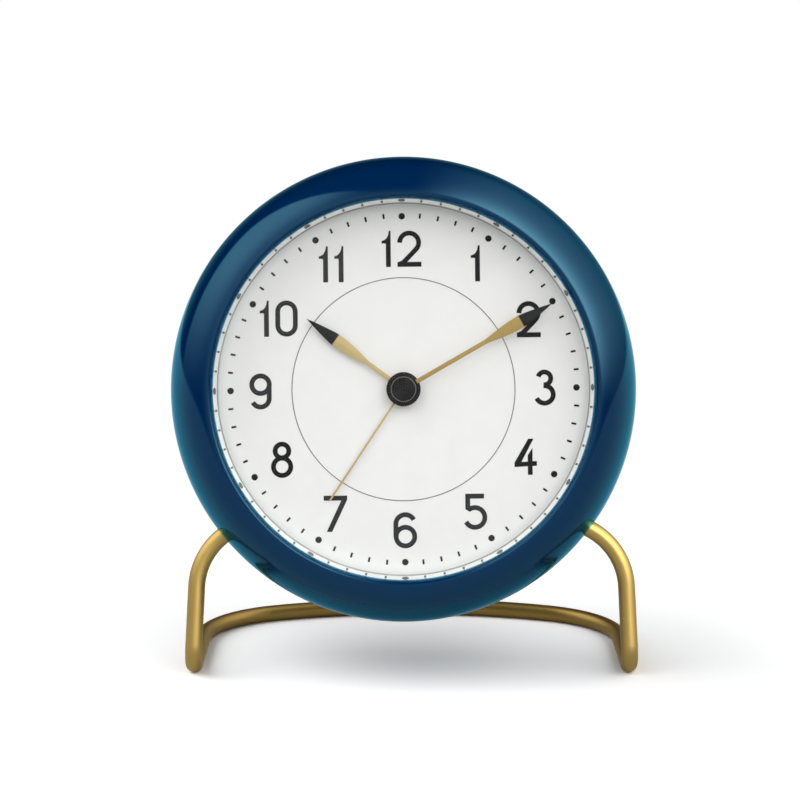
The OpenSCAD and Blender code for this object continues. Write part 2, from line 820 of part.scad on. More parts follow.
module hub_cap_ring() {
    color("#c8c4bc") in_clock() translate([0, 0, cap_z + cap_step_t])
        pipe(cap_ring_r, cap_ring_r - cap_ring_width, cap_ring_t);
}

// Movement: plates and screws

// Moves its children to each corner pillar of the movement
module at_pillars() {
    for (x = [-1, 1]) for (y = [-1, 1])
        translate([x * (movement_w / 2 - pillar_inset),
            movement_mid_y + y * (movement_w / 2 - pillar_inset)]) children();
}

// A bore through everything between two heights
module bore(at, r, z0, z1) {
    translate([at[0], at[1], z0 - over]) cylinder(h = z1 - z0 + 2 * over, r = r);
}

module movement_front() {
    color("#d8d4c8") in_clock() difference() {
        union() {
            translate([0, movement_mid_y]) block(movement_w, movement_w, front_plate_z, dial_back_z);
            at_pillars() {
                translate([0, 0, bridge_z + bridge_t])
                    cylinder(h = front_plate_z - bridge_z - bridge_t, r = pillar_r);
                translate([0, 0, floor_z]) cylinder(h = front_plate_z - floor_z, r = pillar_foot_r);
            }
        }
        bore([0, 0], alarm_pipe_r + run_gap, front_plate_z, dial_back_z);
        for (at = [motion_at, alarm_at])
            bore(at, pivot_r + run_gap, front_plate_z, front_plate_z + pivot_depth - over);
        at_pillars() translate([0, 0, floor_z - over])
            cylinder(h = pillar_bore_depth + over, r = screw_r);
    }
}

module movement_bridge() {
    color("#b8a878") in_clock() difference() {
        translate([0, movement_mid_y]) block(movement_w - 2 * movement_wall - 2 * seat_gap,
            movement_w - 2 * movement_wall - 2 * seat_gap, bridge_z, bridge_z + bridge_t);
        bore([0, 0], arbor_r + run_gap, bridge_z, bridge_z + bridge_t);
        for (at = [motion_at, alarm_at])
            bore(at, arbor_r + run_gap, bridge_z, bridge_z + bridge_t);
        for (at = [third_at, rotor_at])
            bore(at, pivot_r + run_gap, bridge_z, bridge_z + bridge_t);
        at_pillars() translate([0, 0, bridge_z - over])
            cylinder(h = bridge_t + 2 * over, r = pillar_foot_r + seat_gap);
    }
}

module movement_housing() {
    color("#cfcbc0") in_clock() difference() {
        union() {
            difference() {
                translate([0, movement_mid_y])
                    block(movement_w, movement_w, movement_back_z, front_plate_z);
                translate([0, movement_mid_y]) block(movement_w - 2 * movement_wall,
                    movement_w - 2 * movement_wall, floor_z, front_plate_z + over);
            }
            at_pillars() translate([0, 0, floor_z - floor_t / 2])
                cylinder(h = bridge_z - floor_z + floor_t / 2, r = pillar_tube_r);
        }
        at_pillars() {
            translate([0, 0, floor_z])
                cylinder(h = bridge_z - floor_z + over, r = pillar_foot_r + seat_gap);
            translate([0, 0, movement_back_z - over])
                cylinder(h = floor_t + 2 * over, r = screw_r + seat_gap);
        }
        bore([0, 0], arbor_r + run_gap, floor_z + over - pivot_depth, floor_z);
        for (at = [motion_at, alarm_at])
            bore(at, arbor_r + run_gap, movement_back_z, floor_z);
        for (at = [third_at, rotor_at])
            bore(at, pivot_r + run_gap, floor_z + over - pivot_depth, floor_z);
    }
}

module movement_screws() {
    color("#a8a8a4") in_clock() at_pillars() {
        translate([0, 0, movement_back_z - screw_head_t])
            cylinder(h = screw_head_t, r = screw_head_r);
        translate([0, 0, movement_back_z - screw_head_t])
            cylinder(h = screw_head_t + floor_t + pillar_bore_depth - over, r = screw_r);
    }
}

// Movement: wheels and arbors

// A shaft between two heights at a place in the movement
module shaft(at, r, z0, z1) {
    translate([at[0], at[1], z0]) cylinder(h = z1 - z0, r = r);
}

module wheel_at(at, z) {
    translate([at[0], at[1], z]) children();
}

module minute_arbor() {
    color("#b59a55") in_clock() {
        wheel_at([0, 0], cannon_z) gear(cannon_teeth, motion_module, wheel_t, motion_dir);
        shaft([0, 0], minute_arbor_r, cannon_z, cap_z);
        shaft([0, 0], arbor_r, floor_z - pivot_depth + over, cannon_z + wheel_t / 2);
    }
}

module centre_wheel() {
    color("#d9d4c4") in_clock() difference() {
        wheel_at([0, 0], centre_wheel_z) gear(centre_wheel_teeth, train_module, train_wheel_t,
            third_dir + 180 / centre_wheel_teeth);
        bore([0, 0], arbor_r, centre_wheel_z, centre_wheel_z + train_wheel_t);
    }
}

module minute_wheel() {
    color("#e4e0d2") in_clock() {
        wheel_at(motion_at, cannon_z) gear(minute_wheel_teeth, motion_module, wheel_t,
            motion_dir + 180 + 180 / minute_wheel_teeth);
        wheel_at(motion_at, cannon_z + wheel_t / 2) gear(minute_pinion_teeth, hour_module,
            hour_wheel_z - cannon_z + wheel_t / 2, motion_dir + 180);
        shaft(motion_at, arbor_r, movement_back_z - arbor_stub_length, front_plate_z - wheel_gap);
        shaft(motion_at, pivot_r, front_plate_z - wheel_gap - over, front_plate_z + pivot_depth - over);
    }
}

module hour_wheel() {
    color("#e4e0d2") in_clock() difference() {
        union() {
            wheel_at([0, 0], hour_wheel_z) gear(hour_wheel_teeth, hour_module, wheel_t,
                motion_dir + 180 / hour_wheel_teeth);
            shaft([0, 0], hour_pipe_r, hour_wheel_z, hour_hand_z + hand_t);
        }
        bore([0, 0], minute_arbor_r + run_gap, hour_wheel_z, hour_hand_z + hand_t);
    }
}

module alarm_wheel() {
    color("#e4e0d2") in_clock() difference() {
        union() {
            wheel_at([0, 0], alarm_wheel_z) gear(alarm_wheel_teeth, motion_module, wheel_t,
                alarm_dir + 180 / alarm_wheel_teeth);
            shaft([0, 0], alarm_pipe_r, alarm_wheel_z, alarm_hand_z + hand_t);
        }
        bore([0, 0], hour_pipe_r + run_gap, alarm_wheel_z, alarm_hand_z + hand_t);
    }
}

module alarm_pinion() {
    color("#e4e0d2") in_clock() {
        wheel_at(alarm_at, alarm_wheel_z) gear(alarm_pinion_teeth, motion_module, wheel_t,
            alarm_dir + 180);
        shaft(alarm_at, arbor_r, movement_back_z - arbor_stub_length, front_plate_z - wheel_gap);
        shaft(alarm_at, pivot_r, front_plate_z - wheel_gap - over, front_plate_z + pivot_depth - over);
    }
}

module third_wheel() {
    color("#d9d4c4") in_clock() {
        wheel_at(third_at, third_wheel_z) gear(third_wheel_teeth, train_module, train_wheel_t,
            rotor_dir + 180 / third_wheel_teeth);
        wheel_at(third_at, third_wheel_z + train_wheel_t / 2) gear(third_pinion_teeth, train_module,
            centre_wheel_z - third_wheel_z + train_wheel_t / 2 + pinion_overlap, third_dir + 180);
        shaft(third_at, pivot_r, floor_z - pivot_depth + over, bridge_z + bridge_t);
    }
}

module rotor_pinion() {
    color("#e4e0d2") in_clock() {
        wheel_at(rotor_at, third_wheel_z - pinion_overlap) gear(rotor_pinion_teeth, train_module,
            train_wheel_t + 2 * pinion_overlap, rotor_dir + 180);
        shaft(rotor_at, pivot_r, floor_z - pivot_depth + over, bridge_z + bridge_t);
    }
}

module rotor_magnet() {
    color("#4a4a4e") in_clock() wheel_at(rotor_at, stator_z + (stator_t - magnet_h) / 2)
        pipe(magnet_r, pivot_r, magnet_h);
}

// Movement: motor and circuit

module stator() {
    arm_x = stator_half_w - stator_arm_w / 2;
    color("#9a9a98") in_clock() difference() {
        union() {
            translate([0, rotor_at[1]])
                block(2 * stator_half_w, stator_yoke_h, stator_z, stator_z + stator_t);
            for (x = [-arm_x, arm_x]) translate([x, rotor_at[1] + stator_yoke_h / 2 + stator_arm_reach / 2])
                block(stator_arm_w, stator_arm_reach + 2 * over, stator_z, stator_z + stator_t);
        }
        bore(rotor_at, stator_hole_r, stator_z, stator_z + stator_t);
    }
}

module coil_core() {
    color("#8e8e8c") in_clock() translate([0, coil_y])
        block(2 * stator_half_w, stator_arm_w, stator_z + stator_t, stator_z + 2 * stator_t);
}

module coil_bobbin() {
    tube = seat_gap + bobbin_wall;
    color("#ded6bc") in_clock() translate([0, coil_y, coil_mid_z]) difference() {
        union() {
            for (x = [-1, 1]) translate([x * (coil_half_l - bobbin_flange_t / 2), 0])
                block(bobbin_flange_t, bobbin_flange_h, -bobbin_flange_h / 2, bobbin_flange_h / 2);
            block(2 * coil_half_l - bobbin_flange_t, stator_arm_w + 2 * tube, -stator_t / 2 - tube,
                stator_t / 2 + tube);
        }
        block(2 * coil_half_l + 2 * over, stator_arm_w + 2 * seat_gap, -stator_t / 2 - seat_gap,
            stator_t / 2 + seat_gap);
    }
}

module coil_winding() {
    half_l = coil_half_l - bobbin_flange_t;
    inset = seat_gap + bobbin_wall;
    color("#b06a35") in_clock() translate([0, coil_y, coil_mid_z]) difference() {
        block(2 * half_l, winding_h, -winding_h / 2, winding_h / 2);
        block(2 * half_l + 2 * over, stator_arm_w + 2 * inset, -stator_t / 2 - inset,
            stator_t / 2 + inset);
    }
}

// Moves its children to the lower left corner of the circuit board's face
module on_board() {
    translate([movement_w / 2 - movement_wall - board_right_gap - board_w, board_low_y, floor_z + board_t])
        children();
}

module circuit_board() {
    color("#2f6b45") in_clock() on_board() translate([0, 0, -board_t]) cube([board_w, board_l, board_t]);
}

module quartz_crystal() {
    color("#b4b4b0") in_clock() on_board() translate([board_w / 2, board_l / 2, crystal_r])
        rotate([-90, 0, 0]) cylinder(h = crystal_l, r = crystal_r);
}

module control_chip() {
    color("#202020") in_clock() on_board() translate([board_w / 2, board_l / 4])
        block(chip_w, chip_w, 0, chip_t);
}

// Rear cover and what it carries

module rear_cover() {
    tray_out_l = 2 * (tray_half_l + tray_wall);
    tray_out_h = 2 * (tray_half_h + tray_wall);
    color("#0a4060") in_clock() difference() {
        union() {
            translate([0, 0, back_z]) cylinder(h = cover_t, r = cover_r);
            translate([0, battery_y])
                block(tray_out_l, tray_out_h, cover_in_z - over, tray_depth_z + tray_wall);
            for (x = [-1, 1]) for (y = [post_low_y, post_high_y])
                shaft([x * post_x, y], post_r, cover_in_z - over, movement_back_z);
            translate([0, shelf_y - shelf_t / 2]) block(2 * shelf_half_w, shelf_t, cover_in_z - over,
                snooze_z + snooze_switch_w / 2 + over);
            for (y = [-1, 1]) translate([0, battery_y + y * (door_half_h + seat_gap)])
                door_rail(y);
        }
        translate([0, battery_y])
            block(2 * tray_half_l, 2 * tray_half_h, back_z - over, tray_depth_z);
        for (at = [motion_at, alarm_at])
            bore(at, knob_shaft_r + pass_gap, back_z, cover_in_z);
        translate([0, switch_y]) block(switch_stem_w + switch_travel + 2 * seat_gap,
            switch_stem_h + 2 * seat_gap, back_z - over, cover_in_z + over);
        translate([0, buzzer_y]) {
            bore([0, 0], sound_hole_r, back_z, cover_in_z);
            for (i = [1:sound_holes])
                bore(polar(sound_circle_r, 360 * i / sound_holes), sound_hole_r, back_z, cover_in_z);
        }
        cover_ears(screw_r + seat_gap, cover_t + 2 * over, back_z - over);
        cover_ears(screw_head_r + seat_gap, screw_head_t + over, back_z - over);
    }
}

// One rail of the battery door: a bar with a lip over the door's edge
module door_rail(side) {
    rail_z = back_z - door_t - seat_gap - rail_lip_t;
    translate([0, side * rail_w / 2]) block(2 * door_half_l, rail_w, rail_z, back_z + over);
    translate([0, side * (rail_w - rail_lip) / 2 - side * rail_lip / 2])
        block(2 * door_half_l, rail_w + rail_lip, rail_z, rail_z + rail_lip_t);
}

module battery_door() {
    color("#0c4566") in_clock() translate([0, battery_y])
        block(2 * door_half_l, 2 * door_half_h, back_z - door_t, back_z);
}

module battery() {
    color("#3c3c40") in_clock() translate([battery_plus_x, battery_y, battery_z]) rotate([0, -90, 0]) {
        cylinder(h = battery_nub_l + over, r = battery_nub_r);
        translate([0, 0, battery_nub_l]) cylinder(h = battery_l - battery_nub_l, r = battery_r);
    }
}

module battery_contact() {
    color("#c4c0b4") in_clock() for (x = [battery_plus_x, -battery_plus_x - contact_t])
        translate([x, battery_y - contact_w / 2, battery_z - contact_w / 2])
            cube([contact_t, contact_w, contact_w]);
}

// The centreline of the contact spring, a cone of turns between its plate and the battery
function spring_centre(s) =
    let (run = spring_room - 2 * spring_wire_r,
        r = spring_foot_r + (spring_head_r - spring_foot_r) * s,
        a = 360 * spring_turns * s)
    [spring_wire_r + run * s, r * cos(a), r * sin(a)];

function spring_point(i, k) =
    let (s = i / (spring_turns * spring_steps), c = spring_centre(s), a = 360 * spring_turns * s,
        q = 360 * k / spring_sides)
    c + spring_wire_r * [sin(q), cos(q) * cos(a), cos(q) * sin(a)];

module battery_spring() {
    rings = spring_turns * spring_steps;
    points = [for (i = [0:rings]) for (k = [0:spring_sides - 1]) spring_point(i, k)];
    sides = [for (i = [0:rings - 1]) for (k = [0:spring_sides - 1])
        let (a = i * spring_sides + k, b = i * spring_sides + (k + 1) % spring_sides)
        for (t = [[a, b + spring_sides, b], [a, a + spring_sides, b + spring_sides]]) t];
    first_cap = [for (k = [1:spring_sides - 2]) [0, k, k + 1]];
    last = rings * spring_sides;
    last_cap = [for (k = [1:spring_sides - 2]) [last, last + k + 1, last + k]];
    color("#c4c0b4") in_clock() translate([-battery_plus_x, battery_y, battery_z])
        polyhedron(points, concat(sides, first_cap, last_cap));
}

module buzzer() {
    color("#303032") in_clock() translate([0, buzzer_y, cover_in_z]) difference() {
        cylinder(h = buzzer_t, r = buzzer_r);
        translate([0, 0, -over]) cylinder(h = over + buzzer_rim, r = buzzer_r - buzzer_rim);
    }
}

module alarm_switch() {
    color("#e6e2d8") in_clock() translate([-switch_travel / 2, switch_y]) {
        block(switch_head_w, switch_head_h, back_z - switch_head_t, back_z);
        block(switch_stem_w, switch_stem_h, back_z - switch_head_t, cover_in_z - seat_gap);
    }
}

module alarm_switch_body() {
    color("#2c2c2e") in_clock() translate([0, switch_y])
        block(switch_body_w, switch_body_h, cover_in_z, cover_in_z + switch_body_t);
}

module cover_screws() {
    color("#a8a8a4") in_clock() {
        cover_ears(screw_head_r, screw_head_t, back_z);
        cover_ears(screw_r, screw_length, back_z);
    }
}

// Knobs

module knob(at) {
    knob_top_z = back_z - pass_gap;
    shaft_top_z = movement_back_z - wheel_gap;
    difference() {
        union() {
            shaft(at, knob_r, knob_top_z - knob_length, knob_top_z);
            shaft(at, knob_shaft_r, knob_top_z - over, shaft_top_z);
        }
        bore(at, arbor_r, movement_back_z - arbor_stub_length, shaft_top_z);
        for (i = [1:knob_flutes])
            bore(at + polar(knob_r, 360 * i / knob_flutes), knob_flute_r,
                knob_top_z - knob_length, knob_top_z);
    }
}

module time_knob() {
    color("#e6e2d8") in_clock() knob(motion_at);
}

module alarm_knob() {
    color("#e6e2d8") in_clock() knob(alarm_at);
}

// Snooze button and its switch

// Moves its children so that z runs up the dial from its centre, at the snooze button's depth
module at_snooze() {
    in_clock() translate([0, 0, snooze_z]) rotate([-90, 0, 0]) children();
}

module snooze_button() {
    flange_z = snooze_flange_top - snooze_flange_t;
    color("#0a4a6b") at_snooze() {
        translate([0, 0, flange_z]) cylinder(h = snooze_flange_t, r = snooze_r + snooze_rim);
        translate([0, 0, flange_z]) cylinder(h = snooze_top - flange_z, r = snooze_r);
        translate([0, 0, snooze_stem_low]) cylinder(h = snooze_stem_l + over, r = snooze_stem_r);
    }
}

module snooze_switch() {
    color("#2c2c2e") at_snooze() {
        block(snooze_switch_w, snooze_switch_w, shelf_y, shelf_y + snooze_switch_h);
        translate([0, 0, shelf_y]) cylinder(h = snooze_switch_h + plunger_l, r = snooze_stem_r);
    }
}

case_shell();
rear_cover();
stand();
lens();
lens_gasket();
dial_ring();
dial_plate();
dial_numerals();
dial_hour_dots();
dial_minute_ticks();
dial_inner_circle();
alarm_hand();
hour_hand();
hour_hand_tip();
minute_hand();
minute_hand_tip();
hand_hub();
hub_cap();
hub_cap_ring();
movement_front();
movement_bridge();
movement_housing();
minute_arbor();
centre_wheel();
minute_wheel();
hour_wheel();
alarm_wheel();
alarm_pinion();
third_wheel();
rotor_pinion();
rotor_magnet();
stator();
coil_core();
coil_bobbin();
coil_winding();
circuit_board();
quartz_crystal();
control_chip();
movement_screws();
time_knob();
alarm_knob();
buzzer();
alarm_switch();
alarm_switch_body();
snooze_button();
snooze_switch();
battery();
battery_contact();
battery_spring();
battery_door();
cover_screws();
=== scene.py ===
import math

import bmesh
import bpy
from mathutils import Matrix, Vector


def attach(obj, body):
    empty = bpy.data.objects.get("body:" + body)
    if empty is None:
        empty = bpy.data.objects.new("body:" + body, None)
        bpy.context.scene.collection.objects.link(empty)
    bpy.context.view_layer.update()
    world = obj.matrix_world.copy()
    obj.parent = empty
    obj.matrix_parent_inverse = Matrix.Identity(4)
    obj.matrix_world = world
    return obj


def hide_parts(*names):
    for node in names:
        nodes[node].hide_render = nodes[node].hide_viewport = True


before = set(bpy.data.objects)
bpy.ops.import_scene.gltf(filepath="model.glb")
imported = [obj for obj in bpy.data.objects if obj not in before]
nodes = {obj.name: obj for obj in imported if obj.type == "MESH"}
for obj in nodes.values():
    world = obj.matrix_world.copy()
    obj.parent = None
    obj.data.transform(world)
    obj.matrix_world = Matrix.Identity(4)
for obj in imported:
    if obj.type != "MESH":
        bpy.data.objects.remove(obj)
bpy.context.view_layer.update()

scene = bpy.context.scene

# Camera
# It stands on the dial's axis, 580 mm out and 9 degrees up, as the photograph's round dial
# shows. The small shift only puts the dial where the photograph has it in its frame.
dial_centre = Vector((-0.0002, -0.02361677, 0.0687))
case_lean = math.radians(9)
# The turn about x that raises the dial's frame from the table
upright = math.radians(90) - case_lean
# Millimetres to the scene's metres
metres = Matrix.Scale(0.001, 4)
# Millimetres in the dial's own frame (x right, y up the dial, z out to the viewer) to the scene
clock = Matrix.Translation(dial_centre) @ Matrix.Rotation(upright, 4, "X") @ metres
camera_reach = 580
sensor_mm = 36
focal_px = 2507.5
frame_px = 800
dial_px = (403.5, 389.2)

camera_data = bpy.data.cameras.new("camera")
camera_data.sensor_width = sensor_mm
camera_data.lens = sensor_mm * focal_px / frame_px
camera_data.shift_x = (frame_px / 2 - dial_px[0]) / frame_px
camera_data.shift_y = (dial_px[1] - frame_px / 2) / frame_px
camera_data.clip_start = 0.01
camera_data.clip_end = 20
camera = bpy.data.objects.new("camera", camera_data)
scene.collection.objects.link(camera)
camera.location = clock @ Vector((0, 0, camera_reach))
camera.rotation_euler = (upright, 0, 0)
scene.camera = camera
scene.view_settings.view_transform = "Standard"

# Table and backdrop
# A plain white table that runs out into a white backdrop. Near the clock it is a pale matt
# surface that holds the clock's soft shadow, and past that the camera sees it as plain white.


class Socket:
    """One output in a shader tree, so that shader maths reads as plain expressions."""

    def __init__(self, shader, output):
        self.shader = shader
        self.output = output

    def math(self, operation, a, b=0.0):
        return self.shader.node("ShaderNodeMath", {"operation": operation}, {0: a, 1: b})

    def __add__(self, other):
        return self.math("ADD", self, other)

    def __radd__(self, other):
        return self.math("ADD", other, self)

    def __sub__(self, other):
        return self.math("SUBTRACT", self, other)

    def __rsub__(self, other):
        return self.math("SUBTRACT", other, self)

    def __mul__(self, other):
        return self.math("MULTIPLY", self, other)

    def __rmul__(self, other):
        return self.math("MULTIPLY", other, self)

    def __pow__(self, other):
        return self.math("POWER", self, other)

    def __gt__(self, other):
        return self.math("GREATER_THAN", self, other)

    def __lt__(self, other):
        return self.math("LESS_THAN", self, other)

    def most(self, other):
        return self.math("MAXIMUM", self, other)

    def size(self):
        return self.math("ABSOLUTE", self)

    def sine(self):
        return self.math("SINE", self)

    def exp(self):
        return self.math("EXPONENT", self)

    def ramp(self, low, high):
        """0 below low, 1 above high, and a smooth rise between them."""
        return self.shader.node(
            "ShaderNodeMapRange", {"interpolation_type": "SMOOTHSTEP"},
            {"Value": self, "From Min": low, "From Max": high})


class Shader:
    """A shader tree whose nodes are added by type, settings and sockets."""

    def __init__(self, tree):
        self.tree = tree
        tree.nodes.clear()

    def join(self, value, socket):
        if isinstance(value, Socket):
            self.tree.links.new(value.output, socket)
        else:
            socket.default_value = value

    def node(self, kind, settings=None, sockets=None, output=0):
        made = self.tree.nodes.new(kind)
        for key, value in (settings or {}).items():
            setattr(made, key, value)
        for key, value in (sockets or {}).items():
            self.join(value, made.inputs[key])
        return Socket(self, made.outputs[output])

    def colours(self, factor, a, b):
        return self.node("ShaderNodeMix", {"data_type": "RGBA"}, {0: factor, 6: a, 7: b}, 2)

    def parts(self, vector):
        return [self.node("ShaderNodeSeparateXYZ", {}, {0: vector}, i) for i in range(3)]

    def length(self, vector):
        return self.node("ShaderNodeVectorMath", {"operation": "LENGTH"}, {0: vector}, "Value")

    def noise(self, place, scale, detail=2.0):
        return self.node("ShaderNodeTexNoise", {}, {
            "Vector": place, "Scale": scale, "Detail": detail})

    def light_path(self, ray):
        return self.node("ShaderNodeLightPath", output=ray)


class Finish(Shader):
    """A node-built material. Plain numbers of its shader are set when it is made."""

    def __init__(self, name, kind="ShaderNodeBsdfPrincipled", **numbers):
        self.material = bpy.data.materials.new(name)
        self.material.use_nodes = True
        super().__init__(self.material.node_tree)
        self.surface = self.node(kind)
        self.end = self.tree.nodes.new("ShaderNodeOutputMaterial")
        self.join(self.surface, self.end.inputs["Surface"])
        self.set(**numbers)

    def set(self, **values):
        for key, value in values.items():
            self.join(value, self.surface.output.node.inputs[key.replace("_", " ")])

    def place(self):
        return self.node("ShaderNodeTexCoord", output="Object")

    def dial_place(self):
        """Object coordinates turned into the dial's frame and centred on it, in metres."""
        return self.node("ShaderNodeMapping", {"vector_type": "TEXTURE"}, {
            "Vector": self.place(), "Location": dial_centre, "Rotation": (upright, 0, 0)})

    def from_axis(self):
        """The distance from the dial's axis, in metres."""
        side, up, out = self.parts(self.dial_place())
        return self.length(self.node("ShaderNodeCombineXYZ", {}, {0: side, 1: up, 2: 0.0}))

    def stretched(self, place, scale):
        return self.node("ShaderNodeMapping", {}, {"Vector": place, "Scale": scale})

    def bump(self, height, depth, strength=1.0):
        self.set(Normal=self.node("ShaderNodeBump", {}, {
            "Height": height, "Distance": depth, "Strength": strength}))


def rgb(red, green, blue):
    """A colour written in 0 to 255 values as seen on a screen, made linear for a shader."""
    def linear(v):
        v /= 255
        return v / 12.92 if v <= 0.04045 else ((v + 0.055) / 1.055) ** 2.4
    return (linear(red), linear(green), linear(blue), 1.0)


def grey(level):
    return (level, level, level, 1)


def grained(name, low, high, cloud, rough, grain=None, **numbers):
    """A finish that drifts between two colours, is unevenly smooth and may have a grain.

    cloud is the drift's noise (scale, detail), rough is the least roughness, what a noise adds
    and that noise, and grain is a bump's noise, its depth in metres and its strength.
    """
    finish = Finish(name, **numbers)
    spot = finish.place()
    least, added, *patches = rough
    finish.set(Base_Color=finish.colours(finish.noise(spot, *cloud), low, high),
               Roughness=least + added * finish.noise(spot, *patches))
    if grain:
        *texture, depth, strength = grain
        finish.bump(finish.noise(spot, *texture), depth, strength)
    return finish


table_half = 3.0
# How light the table is for soft light, in the clock's polish and to the eye
soft_level, polish_level, eye_level = 0.45, 0.6, 1.2
# Metres from the middle over which it turns into backdrop, to the eye and in the polish, and
# the share of backdrop that the polish shows
eye_fade = (0.075, 0.19)
polish_fade = (0.5, 1.5)
polish_backdrop = 0.2
table_mesh = bpy.data.meshes.new("table")
table_mesh.from_pydata(
    [(-table_half, -table_half, 0), (table_half, -table_half, 0),
     (table_half, table_half, 0), (-table_half, table_half, 0)], [], [(0, 1, 2, 3)])
table = bpy.data.objects.new("table", table_mesh)
scene.collection.objects.link(table)
table_white = Finish("table_white", "ShaderNodeBsdfDiffuse")
looked_at = table_white.light_path("Is Camera Ray").most(
    table_white.light_path("Is Transmission Ray"))
reach = table_white.length(table_white.place())
in_gloss = table_white.light_path("Is Glossy Ray")
table_white.set(Color=table_white.colours(
    looked_at, table_white.colours(in_gloss, grey(soft_level), grey(polish_level)),
    grey(eye_level)))
backdrop = table_white.node("ShaderNodeEmission", {}, {"Color": grey(1)})
far = (looked_at * reach.ramp(*eye_fade)).most(
    in_gloss * reach.ramp(*polish_fade) * polish_backdrop)
table_white.join(table_white.node("ShaderNodeMixShader", {}, {
    0: far, 1: table_white.surface, 2: backdrop}), table_white.end.inputs["Surface"])
table_mesh.materials.append(table_white.material)

# Studio light
# Read from what the case mirrors: a wide soft light high on the right, a tall softbox on the
# left with a sharp rear edge, a dark ceiling, and a dim wall far behind. Matt surfaces also
# get a little light from overhead.

# Each light's brightness and spread, and the pairs of values over which it fades in and out.
# Angles are in degrees: turns go round the dial's axis by the clock, and reaches go off it.
right_bright = 9
right_matt_share = 0.36
right_spread = 70
right_power = 1.7
right_turns = ((2, 32), (66, 96))
right_reaches = ((12, 26), (135, 165))
left_bright = 2.7
left_middle = 75
left_spread = 55
left_turns = ((-94, -50), (-32, -2))
left_corner = -48
left_rear_edge = 127
left_rear_curve = 0.065
left_edge_blur = 2.5
front_bright = 1.35
front_polish_loss = 0.5
front_spread = 24
# The pairs below are shares of a direction that point to the rear (depths) or up (heights)
wall_bright = 0.12
wall_depths = (0.75, 0.95)
wall_heights = (0.0, 0.35)
room_bright = 0.06
ceiling_bright = 0.28
ceiling_heights = (0.2, 0.95)
overhead_depths = (0, 0.6)

world = bpy.data.worlds.new("studio")
scene.world = world
world.use_nodes = True
studio = Shader(world.node_tree)
ray = studio.node("ShaderNodeTexCoord", output="Generated")
from_room = studio.node("ShaderNodeMapping", {"vector_type": "TEXTURE"}, {
    "Vector": ray, "Rotation": (upright, 0, 0)})
right, above, toward = studio.parts(from_room)
off_axis = toward.math("ARCCOSINE", toward) * math.degrees(1)
clock_turn = right.math("ARCTAN2", right, above) * math.degrees(1)
side, depth, height = studio.parts(ray)
in_gloss = studio.light_path("Is Glossy Ray")


def bell(angle, spread, power=2):
    """1 in the middle of a light, falling away over its spread."""
    return ((angle * (1 / spread)) ** power * -1).exp()


def between(value, rise, fall):
    """1 between two soft edges, each given by the two values over which it fades."""
    return value.ramp(*rise) * (1 - value.ramp(*fall))


right_light = (bell(off_axis, right_spread, right_power) * right_bright
               * between(clock_turn, *right_turns) * between(off_axis, *right_reaches))
past_corner = (clock_turn - left_corner).most(0)
rear_edge = left_rear_edge - past_corner * past_corner * left_rear_curve
left_light = (bell(off_axis - left_middle, left_spread) * left_bright
              * between(clock_turn, *left_turns)
              * (1 - (off_axis - rear_edge).ramp(-left_edge_blur, left_edge_blur)))
wall = depth.ramp(*wall_depths) * (1 - height.ramp(*wall_heights)) * wall_bright
front_fill = bell(off_axis, front_spread) * (front_bright - front_polish_loss * in_gloss)
overhead = ((1 - in_gloss) * (room_bright + ceiling_bright * height.ramp(*ceiling_heights))
            * (1 - depth.ramp(*overhead_depths)))
room = (right_light * (right_matt_share + (1 - right_matt_share) * in_gloss)
        + left_light + front_fill + wall + overhead)
shown = studio.light_path("Is Camera Ray").most(studio.light_path("Is Transmission Ray")).most(
    in_gloss * wall)
studio.join(
    studio.node("ShaderNodeBackground", {}, {
        "Color": grey(1), "Strength": shown + (1 - shown) * room}),
    studio.tree.nodes.new("ShaderNodeOutputWorld").inputs["Surface"])

# Stand
# One length of 4 mm brass tube, bent cold into two legs, two feet and a long arc behind, its
# two ends pushed into sockets in the case. Satin brushed along its length and unplated. Its
# colour is painted darker towards the back, as shade.
tube_r = 2
foot_x = 51.5
foot_bend_r = 5
leg_splay = math.radians(2.7)
leg_bend_drop = 46.5
leg_bend_r = 16.2
leg_bend_angle = math.radians(62)
leg_depth = 10
socket_depth = 8
stand_reach = 61.2
rear_corner_r = 26.4
rear_arc_r = 93
stand_shift = 1.9
dial_height = dial_centre.z * 1000
# How finely the bends, the rear arc and the tube's round are drawn
bend_steps = 24
arc_steps = 16
tube_sides = 48
# How far back the painted shade on the brass starts and where it is darkest, in metres
rear_painted_shade = (-0.005, 0.025)

foot_slant = math.atan2(math.sin(leg_splay), math.cos(leg_splay) * math.cos(case_lean))
leg_lean = math.asin(math.cos(leg_splay) * math.sin(case_lean))
foot_rise = foot_bend_r * (1 + math.sin(leg_lean))
foot_top_z = tube_r + foot_rise * math.cos(foot_slant)


def leg_line(z):
    """Where the legs' plane is at a height over the table, behind the dial's centre."""
    return (leg_depth + (z - dial_height) * math.sin(case_lean)) / math.cos(case_lean)


foot_y = leg_line(foot_top_z) + foot_bend_r * math.cos(leg_lean)
foot_top_up = (leg_line(foot_top_z) * math.sin(case_lean)
               + (foot_top_z - dial_height) * math.cos(case_lean))
leg_length = (-leg_bend_drop - foot_top_up) / math.cos(leg_splay)
rear_y = leg_line(tube_r) + stand_reach
rear_half_angle = math.asin((foot_x - rear_corner_r) / (rear_arc_r - rear_corner_r))
corner_y = rear_y - rear_arc_r + (rear_arc_r - rear_corner_r) * math.cos(rear_half_angle)
at_leg = (Matrix.Translation((foot_x, foot_y, tube_r)) @ Matrix.Rotation(-foot_slant, 4, "Y")
          @ Matrix.Translation((0, -foot_bend_r * math.cos(leg_lean), foot_rise))
          @ Matrix.Rotation(-leg_lean, 4, "X"))


def turns(angle, steps):
    """Even angles from nothing to the whole angle."""
    return [angle * i / steps for i in range(steps + 1)]


